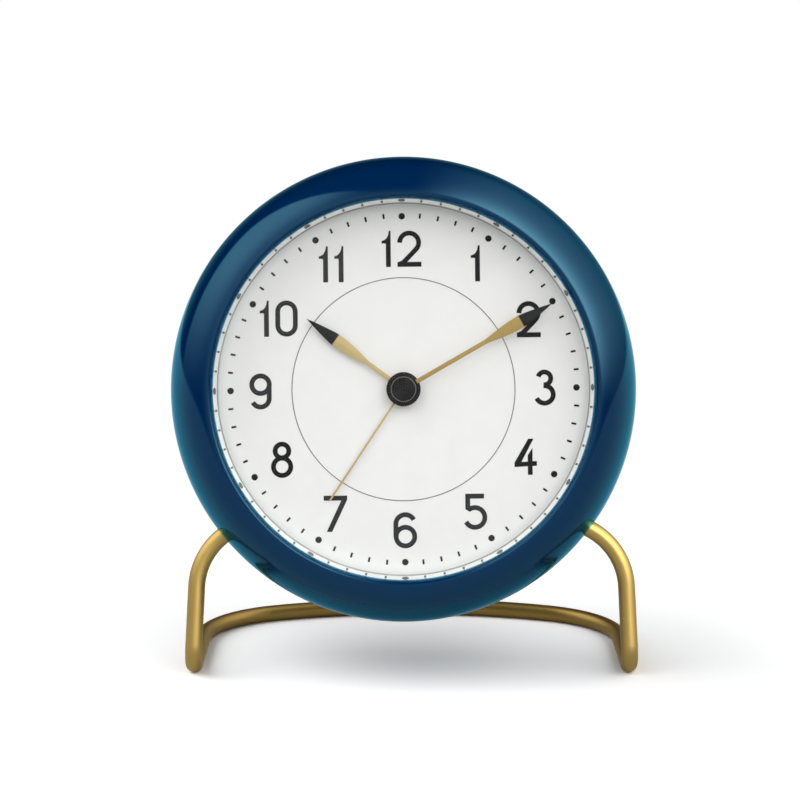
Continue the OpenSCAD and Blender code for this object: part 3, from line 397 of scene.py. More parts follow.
half_path = [at_leg @ Vector((
    leg_bend_r * (math.cos(leg_bend_angle) - 1) - socket_depth * t * math.sin(leg_bend_angle), 0,
    leg_length + leg_bend_r * math.sin(leg_bend_angle)
    + socket_depth * t * math.cos(leg_bend_angle))) for t in (1, 0.5)]
half_path += [at_leg @ Vector((leg_bend_r * (math.cos(a) - 1), 0,
                               leg_length + leg_bend_r * math.sin(a)))
              for a in reversed(turns(leg_bend_angle, bend_steps))]
half_path += [at_leg @ Vector((0, 0, leg_length * t)) for t in (0.75, 0.5, 0.25)]
half_path += [at_leg @ Vector((0, foot_bend_r * (1 - math.cos(a)), -foot_bend_r * math.sin(a)))
              for a in turns(math.radians(90) + leg_lean, bend_steps)]
half_path += [Vector((foot_x, foot_y + (corner_y - foot_y) * t, tube_r)) for t in (0.33, 0.67)]
half_path += [Vector((foot_x - rear_corner_r * (1 - math.cos(a)),
                      corner_y + rear_corner_r * math.sin(a), tube_r))
              for a in turns(math.radians(90) - rear_half_angle, bend_steps)]
half_path += [Vector((rear_arc_r * math.sin(a), rear_y - rear_arc_r * (1 - math.cos(a)), tube_r))
              for a in reversed(turns(rear_half_angle, arc_steps)[1:-1])]
path = half_path + [Vector((0, rear_y, tube_r))]
path += [Vector((-p.x, p.y, p.z)) for p in reversed(half_path)]
stand_seat = Vector((dial_centre.x * 1000 + stand_shift, dial_centre.y * 1000, 0))


class Grower:
    """A Geometry Nodes tree with named sizes, grown once into a plain mesh."""

    def __init__(self, name, **sizes):
        self.name = name
        self.tree = bpy.data.node_groups.new(name, "GeometryNodeTree")
        face = self.tree.interface
        face.new_socket("Geometry", in_out="INPUT", socket_type="NodeSocketGeometry")
        self.sizes = {}
        for key, value in sizes.items():
            kind = "NodeSocketInt" if isinstance(value, int) else "NodeSocketFloat"
            made = face.new_socket(key.replace("_", " "), in_out="INPUT", socket_type=kind)
            self.sizes[made.identifier] = value
        face.new_socket("Geometry", in_out="OUTPUT", socket_type="NodeSocketGeometry")
        self.source = self.tree.nodes.new("NodeGroupInput")
        self.sink = self.tree.nodes.new("NodeGroupOutput")
        self.base = self.source.outputs["Geometry"]

    def size(self, key):
        return self.source.outputs[key.replace("_", " ")]

    def node(self, kind, settings=None, sockets=None, output=0):
        made = self.tree.nodes.new(kind)
        for key, value in (settings or {}).items():
            setattr(made, key, value)
        for key, value in (sockets or {}).items():
            for one in value if isinstance(value, list) else [value]:
                if isinstance(one, bpy.types.NodeSocket):
                    self.tree.links.new(one, made.inputs[key])
                else:
                    made.inputs[key].default_value = one
        return made.outputs[output]

    def move(self, shape, shift=(0, 0, 0), turn=(0, 0, 0)):
        return self.node("GeometryNodeTransform", {}, {
            "Geometry": shape, "Translation": shift, "Rotation": turn})

    def keep(self, shape, kind, name, value):
        """Carries a value along with a curve; returns the curve and the carried value."""
        keeper = self.node("GeometryNodeCaptureAttribute", {"domain": "POINT"}).node
        keeper.capture_items.new(kind, name)
        self.tree.links.new(shape, keeper.inputs["Geometry"])
        self.tree.links.new(value, keeper.inputs[name])
        return keeper.outputs["Geometry"], keeper.outputs[name]

    def grow(self, shape, finish, seed):
        whole = self.node("GeometryNodeRealizeInstances", {}, {"Geometry": shape})
        dressed = self.node("GeometryNodeSetMaterial", {}, {
            "Geometry": whole, "Material": finish.material})
        self.tree.links.new(dressed, self.sink.inputs["Geometry"])
        holder = bpy.data.objects.new(self.name, seed)
        scene.collection.objects.link(holder)
        modifier = holder.modifiers.new(self.name, "NODES")
        modifier.node_group = self.tree
        for key, value in self.sizes.items():
            modifier[key] = value
        bpy.context.view_layer.update()
        grown = holder.evaluated_get(bpy.context.evaluated_depsgraph_get())
        mesh = bpy.data.meshes.new_from_object(grown)
        holder.modifiers.remove(modifier)
        bpy.data.objects.remove(holder)
        return mesh


def points_mesh(name, points, edges=()):
    mesh = bpy.data.meshes.new(name)
    mesh.from_pydata([tuple(p) for p in points], list(edges), [])
    return mesh


def place_piece(name, mesh, matrix, body, slot, *replaced, sharp=40):
    """Puts a finished mesh in the scene: its place in its mesh, its body and node. slot is not
    used.
    """
    mesh.transform(matrix)
    mesh.shade_smooth()
    mesh.set_sharp_from_angle(angle=math.radians(sharp))
    piece = bpy.data.objects.new(name, mesh)
    scene.collection.objects.link(piece)
    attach(piece, body)
    if replaced:
        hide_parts(*replaced)


brass = Finish("satin_brass", Metallic=1.0, Coat_Weight=0.12, Coat_Roughness=0.35)
run = brass.node("ShaderNodeAttribute", {"attribute_name": "along_tube"}, output="Vector")
grain = brass.noise(brass.stretched(run, (1, 1, 0.02)), 3500, 3)
cloud = brass.noise(brass.place(), 45, 3)
# Painted shade: the base colour turns a darker brown towards the back of the stand
brass.set(
    Base_Color=brass.colours(
        brass.parts(brass.place())[1].ramp(*rear_painted_shade),
        brass.colours(cloud, rgb(182, 153, 84), rgb(194, 165, 96)), rgb(164, 136, 71)),
    Roughness=0.37 + 0.12 * grain + 0.05 * cloud)
brass.bump(grain, 0.000012, 0.35)


def bent_tube(name, radius, points, finish):
    """A round bar along a line of points, with its own place along and round itself."""
    tube = Grower(name, Tube_radius=float(radius), Sides=tube_sides)
    line, along = tube.keep(
        tube.node("GeometryNodeMeshToCurve", {}, {"Mesh": tube.base}), "FLOAT", "Along",
        tube.node("GeometryNodeSplineParameter", output="Length"))
    circle, round_place = tube.keep(
        tube.node("GeometryNodeCurvePrimitiveCircle", {}, {
            "Resolution": tube.size("Sides"), "Radius": tube.size("Tube_radius")}),
        "VECTOR", "Round", tube.node("GeometryNodeInputPosition"))
    skin = tube.node("GeometryNodeCurveToMesh", {}, {
        "Curve": line, "Profile Curve": circle, "Fill Caps": True})
    tube_place = tube.node("ShaderNodeCombineXYZ", {}, {
        0: tube.node("ShaderNodeSeparateXYZ", {}, {0: round_place}, 0),
        1: tube.node("ShaderNodeSeparateXYZ", {}, {0: round_place}, 1), 2: along})
    tube_place = tube.node("ShaderNodeVectorMath", {"operation": "SCALE"}, {
        0: tube_place, "Scale": 0.001})
    skin = tube.node("GeometryNodeStoreNamedAttribute", {"data_type": "FLOAT_VECTOR"}, {
        "Geometry": skin, "Name": "along_tube", "Value": tube_place})
    return tube.grow(skin, finish, points_mesh(
        name, [stand_seat + p for p in points], [(i, i + 1) for i in range(len(points) - 1)]))


place_piece("stand_tube", bent_tube("stand_tube", tube_r, path, brass), metres,
            "case", "brass", "stand")

# Case
# One deep moulding with no seam, from the lip round the opening over the widest circle to the
# rear edge, with sockets for the stand and ears for the cover's screws. Petrol-blue lacquer,
# polished, with the faint ripple that sprayed lacquer has.
lacquer = Finish("petrol_lacquer", Specular_IOR_Level=0.0)
spot = lacquer.place()
polish = 0.07 + 0.05 * lacquer.noise(spot, 1200, 3)
lacquer.set(
    Base_Color=lacquer.colours(lacquer.noise(spot, 25, 3), rgb(0, 33, 71), rgb(0, 36, 76)),
    Roughness=polish)
gloss_tint = (0.3, 0.8, 1.0, 1.0)
ripple = lacquer.node("ShaderNodeBump", {}, {
    "Height": lacquer.noise(spot, 300, 1), "Distance": 0.00001, "Strength": 0.1})
gloss = lacquer.node("ShaderNodeBsdfPrincipled", {}, {
    "Base Color": gloss_tint, "Specular Tint": gloss_tint, "Metallic": 1.0,
    "Roughness": polish, "Normal": ripple})
lacquer.join(lacquer.node("ShaderNodeMixShader", {}, {
    0: lacquer.node("ShaderNodeFresnel", {}, {"IOR": 1.5}), 1: lacquer.surface, 2: gloss}),
    lacquer.end.inputs["Surface"])

case_r = 55
opening_r = 43.65
crown_r = 44.6
crown_z = 8.6
lip_z = 6.4
waist_z = -15.4
shoulder_r = 39
shoulder_l = 22.2
case_wall = 2.4
back_z = -36
cover_in_z = -34
cover_seat_r = 43.32
sleeve_r = 46.6
ear_r = 3
ear_circle_r = 40.22
cover_angles = (30, 150, 270)
snooze_z = -22
# The bore that holds the ring and the lens, and the ledge behind the cover's seat
bore_r = 45
bore_back_z = -3
lip_back_z = 5.8
ledge_r = cover_seat_r - 1.1
ledge_z = cover_in_z + 1.4
# Bosses round the stand's sockets, ears for the screws, and the snooze button's hole
boss_r = 3.6
boss_l = 13
socket_gap = 0.05
ear_h = 8
screw_hole_r = 1
snooze_hole_r = 4.1
snooze_hole_span = (48, 60)
# How finely the mirror-smooth rings, the case's profile and its hidden inside are drawn
ring_sides = 288
crown_steps = 64
shoulder_steps = 40
lip_steps = 24
inner_steps = 16
# A hair off the axis, where the flat end of a turned shape starts
axis_r = 0.05


def arc(r, z, wide, deep, start, end, steps):
    """Points of an upright ellipse's arc, as (radius, height), angles from the outside up."""
    return [(r + wide * math.cos(math.radians(start + (end - start) * i / steps)),
             z + deep * math.sin(math.radians(start + (end - start) * i / steps)))
            for i in range(steps + 1)]


def shoulder_angle(z, inset):
    return math.degrees(math.asin((z - waist_z) / (shoulder_l - inset)))


def outline(inset):
    """The case's profile from its crown to its rear edge, moved in by the inset."""
    return (arc(crown_r, waist_z, case_r - crown_r - inset, crown_z - waist_z - inset,
                90, 0, crown_steps)
            + arc(shoulder_r, waist_z, case_r - shoulder_r - inset, shoulder_l - inset,
                  0, shoulder_angle(back_z, inset), shoulder_steps)[1:])


def close_band(bm, rows):
    """Faces between neighbouring rows of points, each row a closed loop."""
    for a, b in zip(rows, rows[1:]):
        for k in range(len(a)):
            bm.faces.new((a[k], a[(k + 1) % len(a)], b[(k + 1) % len(a)], b[k]))


def circle_row(bm, r, z, sides=64, centre=(0, 0)):
    return [bm.verts.new((centre[0] + r * math.sin(2 * math.pi * k / sides),
                          centre[1] + r * math.cos(2 * math.pi * k / sides), z))
            for k in range(sides)]


def mesh_of(bm, name, finish):
    bmesh.ops.recalc_face_normals(bm, faces=bm.faces)
    mesh = bpy.data.meshes.new(name)
    bm.to_mesh(mesh)
    bm.free()
    mesh.materials.append(finish.material)
    return mesh


def turned_piece(name, profile, finish, sides=64, capped=False, centre=(0, 0)):
    """A turned shape from its half profile of (radius, height) points: a ring, or capped."""
    bm = bmesh.new()
    rows = [circle_row(bm, r, z, sides, centre) for r, z in profile]
    close_band(bm, rows if capped else rows + rows[:1])
    if capped:
        bm.faces.new(rows[0])
        bm.faces.new(rows[-1])
    return mesh_of(bm, name, finish)


def combined(mesh, operation, others):
    """A closed mesh joined with, held inside or cut by other closed meshes."""
    base = bpy.data.objects.new("base", mesh)
    scene.collection.objects.link(base)
    tools = []
    for other in others:
        tools.append(bpy.data.objects.new("tool", other))
        scene.collection.objects.link(tools[-1])
        change = base.modifiers.new("change", "BOOLEAN")
        change.operation = operation
        change.solver = "EXACT"
        change.object = tools[-1]
    bpy.context.view_layer.update()
    mesh = bpy.data.meshes.new_from_object(
        base.evaluated_get(bpy.context.evaluated_depsgraph_get()))
    for made in tools + [base]:
        bpy.data.objects.remove(made)
    return mesh


meet_angle = math.degrees(math.acos((sleeve_r - crown_r) / (case_r - crown_r - case_wall)))
section = arc(crown_r, lip_z, crown_r - opening_r, crown_z - lip_z, 180, 90, lip_steps)[:-1]
section += outline(0)
section += [(cover_seat_r, back_z), (cover_seat_r, cover_in_z), (ledge_r, cover_in_z),
            (ledge_r, ledge_z)]
section += arc(shoulder_r, waist_z, case_r - shoulder_r - case_wall, shoulder_l - case_wall,
               shoulder_angle(ledge_z, case_wall), 0, inner_steps)
section += arc(crown_r, waist_z, case_r - crown_r - case_wall, crown_z - waist_z - case_wall,
               0, meet_angle, inner_steps)[1:]
section += [(sleeve_r, bore_back_z), (bore_r, bore_back_z), (bore_r, lip_back_z),
            (opening_r, lip_back_z)]
shell = turned_piece("shell", section, lacquer, ring_sides)
core = turned_piece(
    "core", [(axis_r, back_z + 0.5), (axis_r, crown_z - case_wall / 2)] + outline(
        case_wall / 2)[:-2], lacquer, 96, True)
bosses = []
# Each end of the tube in the case, and the next point out along it
for inner, outer in (path[:2], path[:-3:-1]):
    outward = (outer - inner).normalized()
    bosses.append(combined(bent_tube("boss", boss_r, [inner, inner + outward * boss_l], lacquer),
                           "INTERSECT", [core.copy()]))
# The run in the case has two points and the bend after it one more than its steps
socket_points = 2 + bend_steps + 1
cuts = [bent_tube("socket", tube_r + socket_gap, points, lacquer)
        for points in (path[:socket_points], path[-socket_points:])]
for mesh in bosses + cuts:
    mesh.transform(clock.inverted() @ metres)
ears = []
ear_places = [(ear_circle_r * math.cos(a), ear_circle_r * math.sin(a))
              for a in map(math.radians, cover_angles)]
for at in ear_places:
    ears.append(turned_piece("ear", [(ear_r, cover_in_z), (ear_r, cover_in_z + ear_h)], lacquer,
                             40, True, at))
    cuts.append(turned_piece(
        "screw_hole", [(screw_hole_r, cover_in_z - 0.4), (screw_hole_r, cover_in_z + 5)],
        lacquer, 24, True, at))
hole = turned_piece("snooze_hole", [(snooze_hole_r, z) for z in snooze_hole_span], lacquer,
                    64, True)
hole.transform(Matrix.Translation((0, 0, snooze_z)) @ Matrix.Rotation(math.radians(-90), 4, "X"))
shell = combined(shell, "UNION", bosses + ears)
shell = combined(shell, "DIFFERENCE", cuts + [hole])
place_piece("case_moulding", shell, clock, "case", "case_plastic", "case_shell", sharp=30)

# Dial
# A flat metal disc sprayed matt white, with its numerals, dots and ticks screen printed in
# black and one thin inner circle in brown. The ink stands a hair proud of the white, and it
# is a paler grey on the upper left and along the bottom.


def dress(finish, *names):
    """Gives pieces of the frame their finish and keeps their shape."""
    for name in names:
        nodes[name].data.materials.clear()
        nodes[name].data.materials.append(finish.material)


dial_white = Finish("dial_white")
spot = dial_white.place()
# Painted shade: the white turns greyer towards the disc's edge, where the case's rim shades it
edge = dial_white.from_axis().ramp(0.0405, 0.0434)
dial_white.set(
    Base_Color=dial_white.colours(
        edge, dial_white.colours(dial_white.noise(spot, 220, 5), rgb(236, 236, 234),
                                 rgb(243, 243, 241)), rgb(218, 221, 219)),
    Roughness=0.45 + 0.12 * dial_white.noise(spot, 900, 3))
dial_white.bump(dial_white.noise(spot, 2500, 2), 0.00001, 0.15)
dress(dial_white, "dial_plate")
ink = Finish("black_ink", Roughness=0.45, Specular_IOR_Level=0.15)
side, up, out = ink.parts(ink.dial_place())
paler_ink = (side.ramp(-0.008, -0.014) * up.ramp(-0.013, -0.006)).most(up.ramp(-0.021, -0.026))
ink.set(Base_Color=ink.colours(
    paler_ink * (0.75 + 0.5 * ink.noise(ink.place(), 900, 3)), rgb(14, 14, 15), rgb(48, 48, 50)))
dress(ink, "dial_numerals", "dial_hour_dots", "dial_minute_ticks")
line_ink = Finish("brown_ink", Roughness=0.5)
line_ink.set(Base_Color=line_ink.colours(
    line_ink.noise(line_ink.place(), 700, 2), rgb(84, 76, 68), rgb(118, 110, 100)))
dress(line_ink, "dial_inner_circle")

# Dial ring
# A turned ring between the dial and the lens, with a bevel polished bright enough to mirror
# the dial and its ticks. Its foot by the dial is left unpolished, and is painted grey there as
# the shadow line between ring and dial.

# Half of its cut shape in millimetres: round from the foot to the lens and down the bevel
ring_profile = [(42.9, 0), (44.9, 0), (44.9, 3.9), (43.85, 3.9), (43.85, 2.1), (43.17, 0.95)]
# The height where the polish starts and the painted shade ends, in metres
polish_from = 0.0009
ring_bright = Finish("ring_bright", Metallic=0.85)
side, up, out = ring_bright.parts(ring_bright.dial_place())
matt_foot_and_painted_shade = out < polish_from
# The foot is rougher, and its grey colour is painted shade for the shadow line at the dial
ring_bright.set(
    Base_Color=ring_bright.colours(matt_foot_and_painted_shade, ring_bright.colours(
        ring_bright.noise(ring_bright.place(), 90, 2), rgb(246, 246, 244), rgb(252, 252, 250)),
        rgb(176, 178, 175)),
    Roughness=0.02 + 0.3 * matt_foot_and_painted_shade + 0.01 * ring_bright.noise(ring_bright.place(), 500, 2))
ring = turned_piece("dial_ring_turned", ring_profile, ring_bright, ring_sides)
place_piece("dial_ring_turned", ring, clock, "case", "bright_ring", "dial_ring", sharp=10)

# Lens and gasket
# A clear glass disc that drops in from behind against the case's lip, on a soft white gasket.
# The glass lets light straight through and mirrors a little of it, more at a low angle.
gasket_white = Finish("gasket_white", Roughness=0.6)
gasket_white.set(Base_Color=gasket_white.colours(
    gasket_white.noise(gasket_white.place(), 300, 3), rgb(216, 216, 212), rgb(228, 228, 225)))
dress(gasket_white, "lens_gasket")

glass = Finish("lens_glass", Base_Color=(1, 1, 1, 1), Metallic=1.0, Roughness=0.01)
facing = glass.node("ShaderNodeLayerWeight", {}, {"Blend": 0.5}, "Facing")
glass.set(Alpha=(0.004 + 0.6 * facing ** 5) * (0.9 + 0.2 * glass.noise(glass.place(), 60, 2)))
dress(glass, "lens")

# Hour, minute and alarm hands
# Two stamped brass leaves, each creased along its middle, lacquered satin gold, with the
# point dipped in black. The alarm hand is a plain thin strip.
leaf_width = 2.95
stem_width = 1.0
black_length = 8.3
flare_length = 9.2
hand_t = 0.3
crease = 0.05
tip_t = 0.04
eye_r = 3.15
# How far the leaf starts outside its bore, its least half width, and its steps
leaf_start = 0.6
point_half = 0.03
leaf_steps = 40


def leaf_half(r, tip):
    """Half the width of a leaf at a distance from the axis."""
    wide = tip - black_length
    flare = wide - flare_length
    if r <= flare:
        return stem_width / 2
    if r <= wide:
        return stem_width / 2 + (leaf_width - stem_width) / 2 * math.sin(
            math.pi / 2 * (r - flare) / flare_length)
    return leaf_width / 2 * (1 - ((r - wide) / black_length) ** 1.25)


def creased_leaf(name, tip, start, end, low, ridge, finish, bore=0.0):
    """A strip of the leaf between two distances, with its crease along the middle."""
    bm = bmesh.new()
    rows = []
    for i in range(leaf_steps + 1):
        r = start + (end - start) * i / leaf_steps
        w = max(leaf_half(r, tip), point_half)
        edge = ridge - crease * w * 2 / leaf_width
        rows.append([bm.verts.new(p) for p in (
            (-w, r, low), (w, r, low), (w, r, edge), (0, r, ridge), (-w, r, edge))])
    close_band(bm, rows)
    bm.faces.new(rows[0])
    bm.faces.new(rows[-1])
    if bore:
        top = ridge - crease
        bands = [circle_row(bm, r, z) for r, z in (
            (bore, low), (eye_r, low), (eye_r, top), (bore, top))]
        close_band(bm, bands + bands[:1])
    return mesh_of(bm, name, finish)


def satin_gold(name, low, high):
    return grained(name, low, high, cloud=(500, 3), rough=(0.42, 0.12, 2500, 3),
                   grain=(4000, 2, 0.00001, 0.2), Metallic=0.8)


pale_gold = satin_gold("pale_gold", rgb(176, 158, 110), rgb(186, 168, 120))
deep_gold = satin_gold("deep_gold", rgb(150, 128, 74), rgb(162, 140, 84))
dress(pale_gold, "alarm_hand")
hand_black = grained("hand_black", rgb(12, 12, 13), rgb(20, 20, 22), cloud=(800, 2),
                     rough=(0.3, 0.1, 1500, 3), Specular_IOR_Level=0.25)
# Each hand's node, body, reach, turn from twelve in degrees, height, bore radius and gold
for hand, body, tip, angle, level, bore, gold in (
        ("hour_hand", "hour_train", 27.7, 306, 1.3, 1.8, pale_gold),
        ("minute_hand", "minute_train", 39.6, 60, 2.6, 1.2, deep_gold)):
    turned = clock @ Matrix.Rotation(math.radians(-angle), 4, "Z")
    join_r = tip - black_length
    place_piece(hand + "_leaf", creased_leaf(
        hand, tip, bore + leaf_start, join_r, level, level + hand_t, gold, bore),
        turned, body, "hand_gold", hand, sharp=2)
    place_piece(hand + "_point", creased_leaf(
        hand + "_tip", tip, join_r, tip, level, level + hand_t + tip_t, hand_black),
        turned, body, "black_paint", hand + "_tip", sharp=2)

# Hub
# A black cap over the hands with faint turning marks, and a thin steel ring let into its step.
# The hub under it has the black of the hands' points.

# Radians of the turning marks in a metre, which is one mark in 0.25 mm
mark_phase = 25000
hub_black = Finish("hub_black", Metallic=0.2, Specular_IOR_Level=0.2)
grooves = (hub_black.from_axis() * mark_phase).sine()
hub_black.set(
    Base_Color=hub_black.colours(grooves * 0.5 + 0.5, rgb(3, 3, 3), rgb(20, 19, 19)),
    Roughness=0.25 + 0.15 * hub_black.noise(hub_black.place(), 3000, 2))
hub_black.bump(grooves, 0.00002, 0.6)
dress(hub_black, "hub_cap")
dress(hand_black, "hand_hub")
cap_line = grained("cap_line", rgb(112, 111, 108), rgb(128, 127, 124), cloud=(300, 2),
                   rough=(0.3, 0.1, 1200, 3), Metallic=1.0)
dress(cap_line, "hub_cap_ring")

# Movement plates and housing
# Plain injection mouldings in ivory nylon, with the fine grain of a spark-eroded mould.
ivory = grained("ivory_nylon", rgb(206, 202, 190), rgb(216, 212, 201), cloud=(60, 3),
                rough=(0.42, 0.15, 1500, 3), grain=(1800, 3, 0.00003, 0.35))
dress(ivory, "movement_front", "movement_bridge", "movement_housing")

# Wheels and arbors
# Small acetal wheels, white and a little waxy, on arbors of the same moulding. The minute
# arbor is turned brass, and the rotor's magnet is a grey sintered ring on its pinion.
acetal = grained("acetal", rgb(226, 223, 212), rgb(236, 233, 224), cloud=(120, 2),
                 rough=(0.3, 0.12, 1800, 2), grain=(2200, 2, 0.00001, 0.3))
dress(acetal, "centre_wheel", "minute_wheel", "hour_wheel", "alarm_wheel", "alarm_pinion",
      "third_wheel", "rotor_pinion")
turned_brass = grained("turned_brass", rgb(206, 176, 104), rgb(222, 194, 124), cloud=(400, 2),
                       rough=(0.22, 0.15, 2000, 2), Metallic=1.0)
dress(turned_brass, "minute_arbor")
magnet = Finish("magnet_grey", Roughness=0.55)
spot = magnet.place()
magnet.set(Base_Color=magnet.colours(magnet.noise(spot, 1500, 4), rgb(62, 62, 66), rgb(88, 88, 92)))
magnet.bump(magnet.noise(spot, 3000, 3), 0.00002, 0.5)
dress(magnet, "rotor_magnet")

# Motor coil
# Enamelled copper wire wound on a nylon bobbin, on a soft iron core clipped to the stator.
# The wire lies in even turns across the bobbin.

# Radians of the winding in a metre, which is one turn of wire in 0.2 mm
wire_phase = 32000
copper = Finish("copper_wire", Metallic=0.9)
wire_turns = (copper.parts(copper.place())[0] * wire_phase).sine()
copper.set(
    Base_Color=copper.colours(wire_turns * 0.5 + 0.5, rgb(128, 66, 32), rgb(206, 122, 66)),
    Roughness=0.28 + 0.1 * copper.noise(copper.place(), 900, 2))
copper.bump(wire_turns, 0.00006, 0.8)
dress(copper, "coil_winding")
dress(ivory, "coil_bobbin")
iron = Finish("soft_iron", Metallic=1.0)
spot = iron.place()
iron.set(
    Base_Color=iron.colours(iron.noise(spot, 200, 3), rgb(138, 138, 136), rgb(168, 168, 165)),
    Roughness=0.38 + 0.2 * iron.noise(iron.stretched(spot, (1, 0.1, 1)), 2500, 3))
dress(iron, "stator", "coil_core")

# Circuit board, chip, switches and buzzer
# A green glass-fibre board with its crystal in a steel can and one black chip. The switches'
# bodies and the buzzer's cup are black mouldings.

# Radians of the glass weave in a metre, which is one thread in 0.7 mm
weave_phase = 9000
board = Finish("board_green")
spot = board.place()
side, depth, height = board.parts(spot)
weave = (side * weave_phase).sine() * (height * weave_phase).sine()
board.set(
    Base_Color=board.colours(weave * 0.5 + 0.5, rgb(30, 84, 52), rgb(42, 104, 66)),
    Roughness=0.3 + 0.15 * board.noise(spot, 1500, 2))
dress(board, "circuit_board")
bright = grained("bright_steel", rgb(196, 194, 190), rgb(214, 212, 208), cloud=(300, 2),
                 rough=(0.18, 0.15, 1200, 3), Metallic=1.0)
dress(bright, "quartz_crystal")
black_plastic = grained("black_plastic", rgb(28, 28, 30), rgb(42, 42, 44), cloud=(400, 3),
                        rough=(0.42, 0.16, 1500, 3), grain=(2500, 3, 0.00003, 0.4))
dress(black_plastic, "control_chip", "snooze_switch", "alarm_switch_body", "buzzer")

# Screws
# Small chamfered pan-head screws with cross recesses: four hold the movement together from
# behind, and three hold the rear cover. Each is left at the turn where it came tight.


def screws(name, places, turn_seed, shank_l, top_z, replaced):
    """Screws seen from the rear, their heads' tops at top_z and their shanks towards +z."""
    head_h = 1.2
    chamfer_h = 0.35
    made = Grower(name, Head_radius=1.9, Face_radius=1.5, Head_height=head_h - chamfer_h,
                  Chamfer_height=chamfer_h, Shank_radius=1.0, Shank_length=float(shank_l),
                  Recess_length=2.3, Recess_width=0.5, Recess_height=1.4, Turn_seed=turn_seed)
    rim = made.move(made.node("GeometryNodeMeshCylinder", {}, {
        "Vertices": 48, "Radius": made.size("Head_radius"), "Depth": made.size("Head_height")}),
        (0, 0, (head_h + chamfer_h) / 2))
    face = made.move(made.node("GeometryNodeMeshCone", {}, {
        "Vertices": 48, "Radius Top": made.size("Face_radius"),
        "Radius Bottom": made.size("Head_radius"), "Depth": made.size("Chamfer_height")}),
        (0, 0, chamfer_h), (math.pi, 0, 0))
    bar = made.node("ShaderNodeCombineXYZ", {}, {
        0: made.size("Recess_length"), 1: made.size("Recess_width"), 2: made.size("Recess_height")})
    slots = [made.move(made.node("GeometryNodeMeshCube", {}, {"Size": bar}),
                       turn=(0, 0, quarter * math.pi / 2)) for quarter in (0, 1)]
    head = made.node("GeometryNodeMeshBoolean", {"operation": "UNION"}, {"Mesh 2": [rim, face]})
    head = made.node("GeometryNodeMeshBoolean", {"operation": "DIFFERENCE"}, {
        "Mesh 1": head, "Mesh 2": slots})
    shank = made.move(made.node("GeometryNodeMeshCylinder", {}, {
        "Vertices": 24, "Radius": made.size("Shank_radius"), "Depth": made.size("Shank_length")}),
        (0, 0, head_h + shank_l / 2))
    one = made.node("GeometryNodeJoinGeometry", {}, {"Geometry": [head, shank]})
    spin = made.node("FunctionNodeRandomValue", {"data_type": "FLOAT"}, {
        2: 0.0, 3: 3.0, "Seed": made.size("Turn_seed")}, 1)
    spread = made.node("GeometryNodeInstanceOnPoints", {}, {
        "Points": made.base, "Instance": one,
        "Rotation": made.node("ShaderNodeCombineXYZ", {}, {2: spin})})
    mesh = made.grow(spread, bright, points_mesh(name, [(x, y, top_z) for x, y in places]))
    place_piece(name, mesh, clock, "case", "steel", replaced, sharp=30)


pillar_reach = 19.4
movement_mid_y = 10
pillar_places = [(x * pillar_reach, movement_mid_y + y * pillar_reach)
                 for x in (-1, 1) for y in (-1, 1)]
screws("movement_screw_set", pillar_places, turn_seed=3, shank_l=9.9, top_z=-19.2,
       replaced="movement_screws")
screws("cover_screw_set", ear_places, turn_seed=5, shank_l=5.8, top_z=back_z,
       replaced="cover_screws")

# Rear cover and snooze button
# A moulded disc in the case's colour with a fine matt grain, set in a ledge behind the case.
# It carries the battery's tray, the movement's posts and the door's rails.
cover_blue = grained("cover_blue", rgb(0, 54, 88), rgb(0, 60, 94), cloud=(40, 3),
                     rough=(0.4, 0.15, 1500, 3), grain=(1600, 4, 0.00004, 0.5),
                     Specular_Tint=(0.3, 0.85, 1, 1))
dress(cover_blue, "rear_cover", "snooze_button")

# Setting knobs and alarm switch
# Cream fluted knobs pushed on their arbors through the cover, and a small sliding switch.
cream = grained("cream_plastic", rgb(224, 220, 208), rgb(234, 231, 220), cloud=(80, 3),
                rough=(0.33, 0.15, 1500, 3), grain=(2000, 3, 0.00002, 0.3))
dress(cream, "time_knob", "alarm_knob", "alarm_switch")

# Battery
# One AA cell: a steel can with a pip at the plus end, in a plain shrunk sleeve that turns in
# over both shoulders. The sleeve is dark with one pale band and its overlap runs lengthwise.

# Places in the dial's frame: the cell's line, its plus end and the foot of its spring
battery_y = -22
battery_z = -26.3
plus_end_x = 26.8
spring_foot_x = -26.45
quarter_turn = math.radians(90)
# Half of the can's and the sleeve's cut shapes, as radius and distance from the plus end
can_profile = [
    (axis_r, 0), (2.3, 0), (2.5, 0.08), (2.6, 0.3), (2.6, 1.1), (2.75, 1.22), (6.0, 1.22),
    (6.35, 1.4), (6.95, 2.0), (6.95, 49.7), (6.6, 50.15), (6.0, 50.3), (5.2, 50.3), (4.8, 50.5),
    (axis_r, 50.5)]
sleeve_profile = [
    (6.05, 1.3), (6.3, 1.2), (6.6, 1.35), (7.1, 1.9), (7.25, 2.2), (7.25, 49.6), (7.1, 50.0),
    (6.7, 50.35), (6.2, 50.4), (6.1, 50.3), (6.6, 50.1), (6.95, 49.6), (6.95, 2.2), (6.5, 1.6)]
# The pale band, the thin pale line and the overlap, as middle and half width in metres
band_at, band_half = -0.0125, 0.0022
line_at, line_half = -0.0475, 0.0006
overlap_at, overlap_half = 0.002, 0.0001

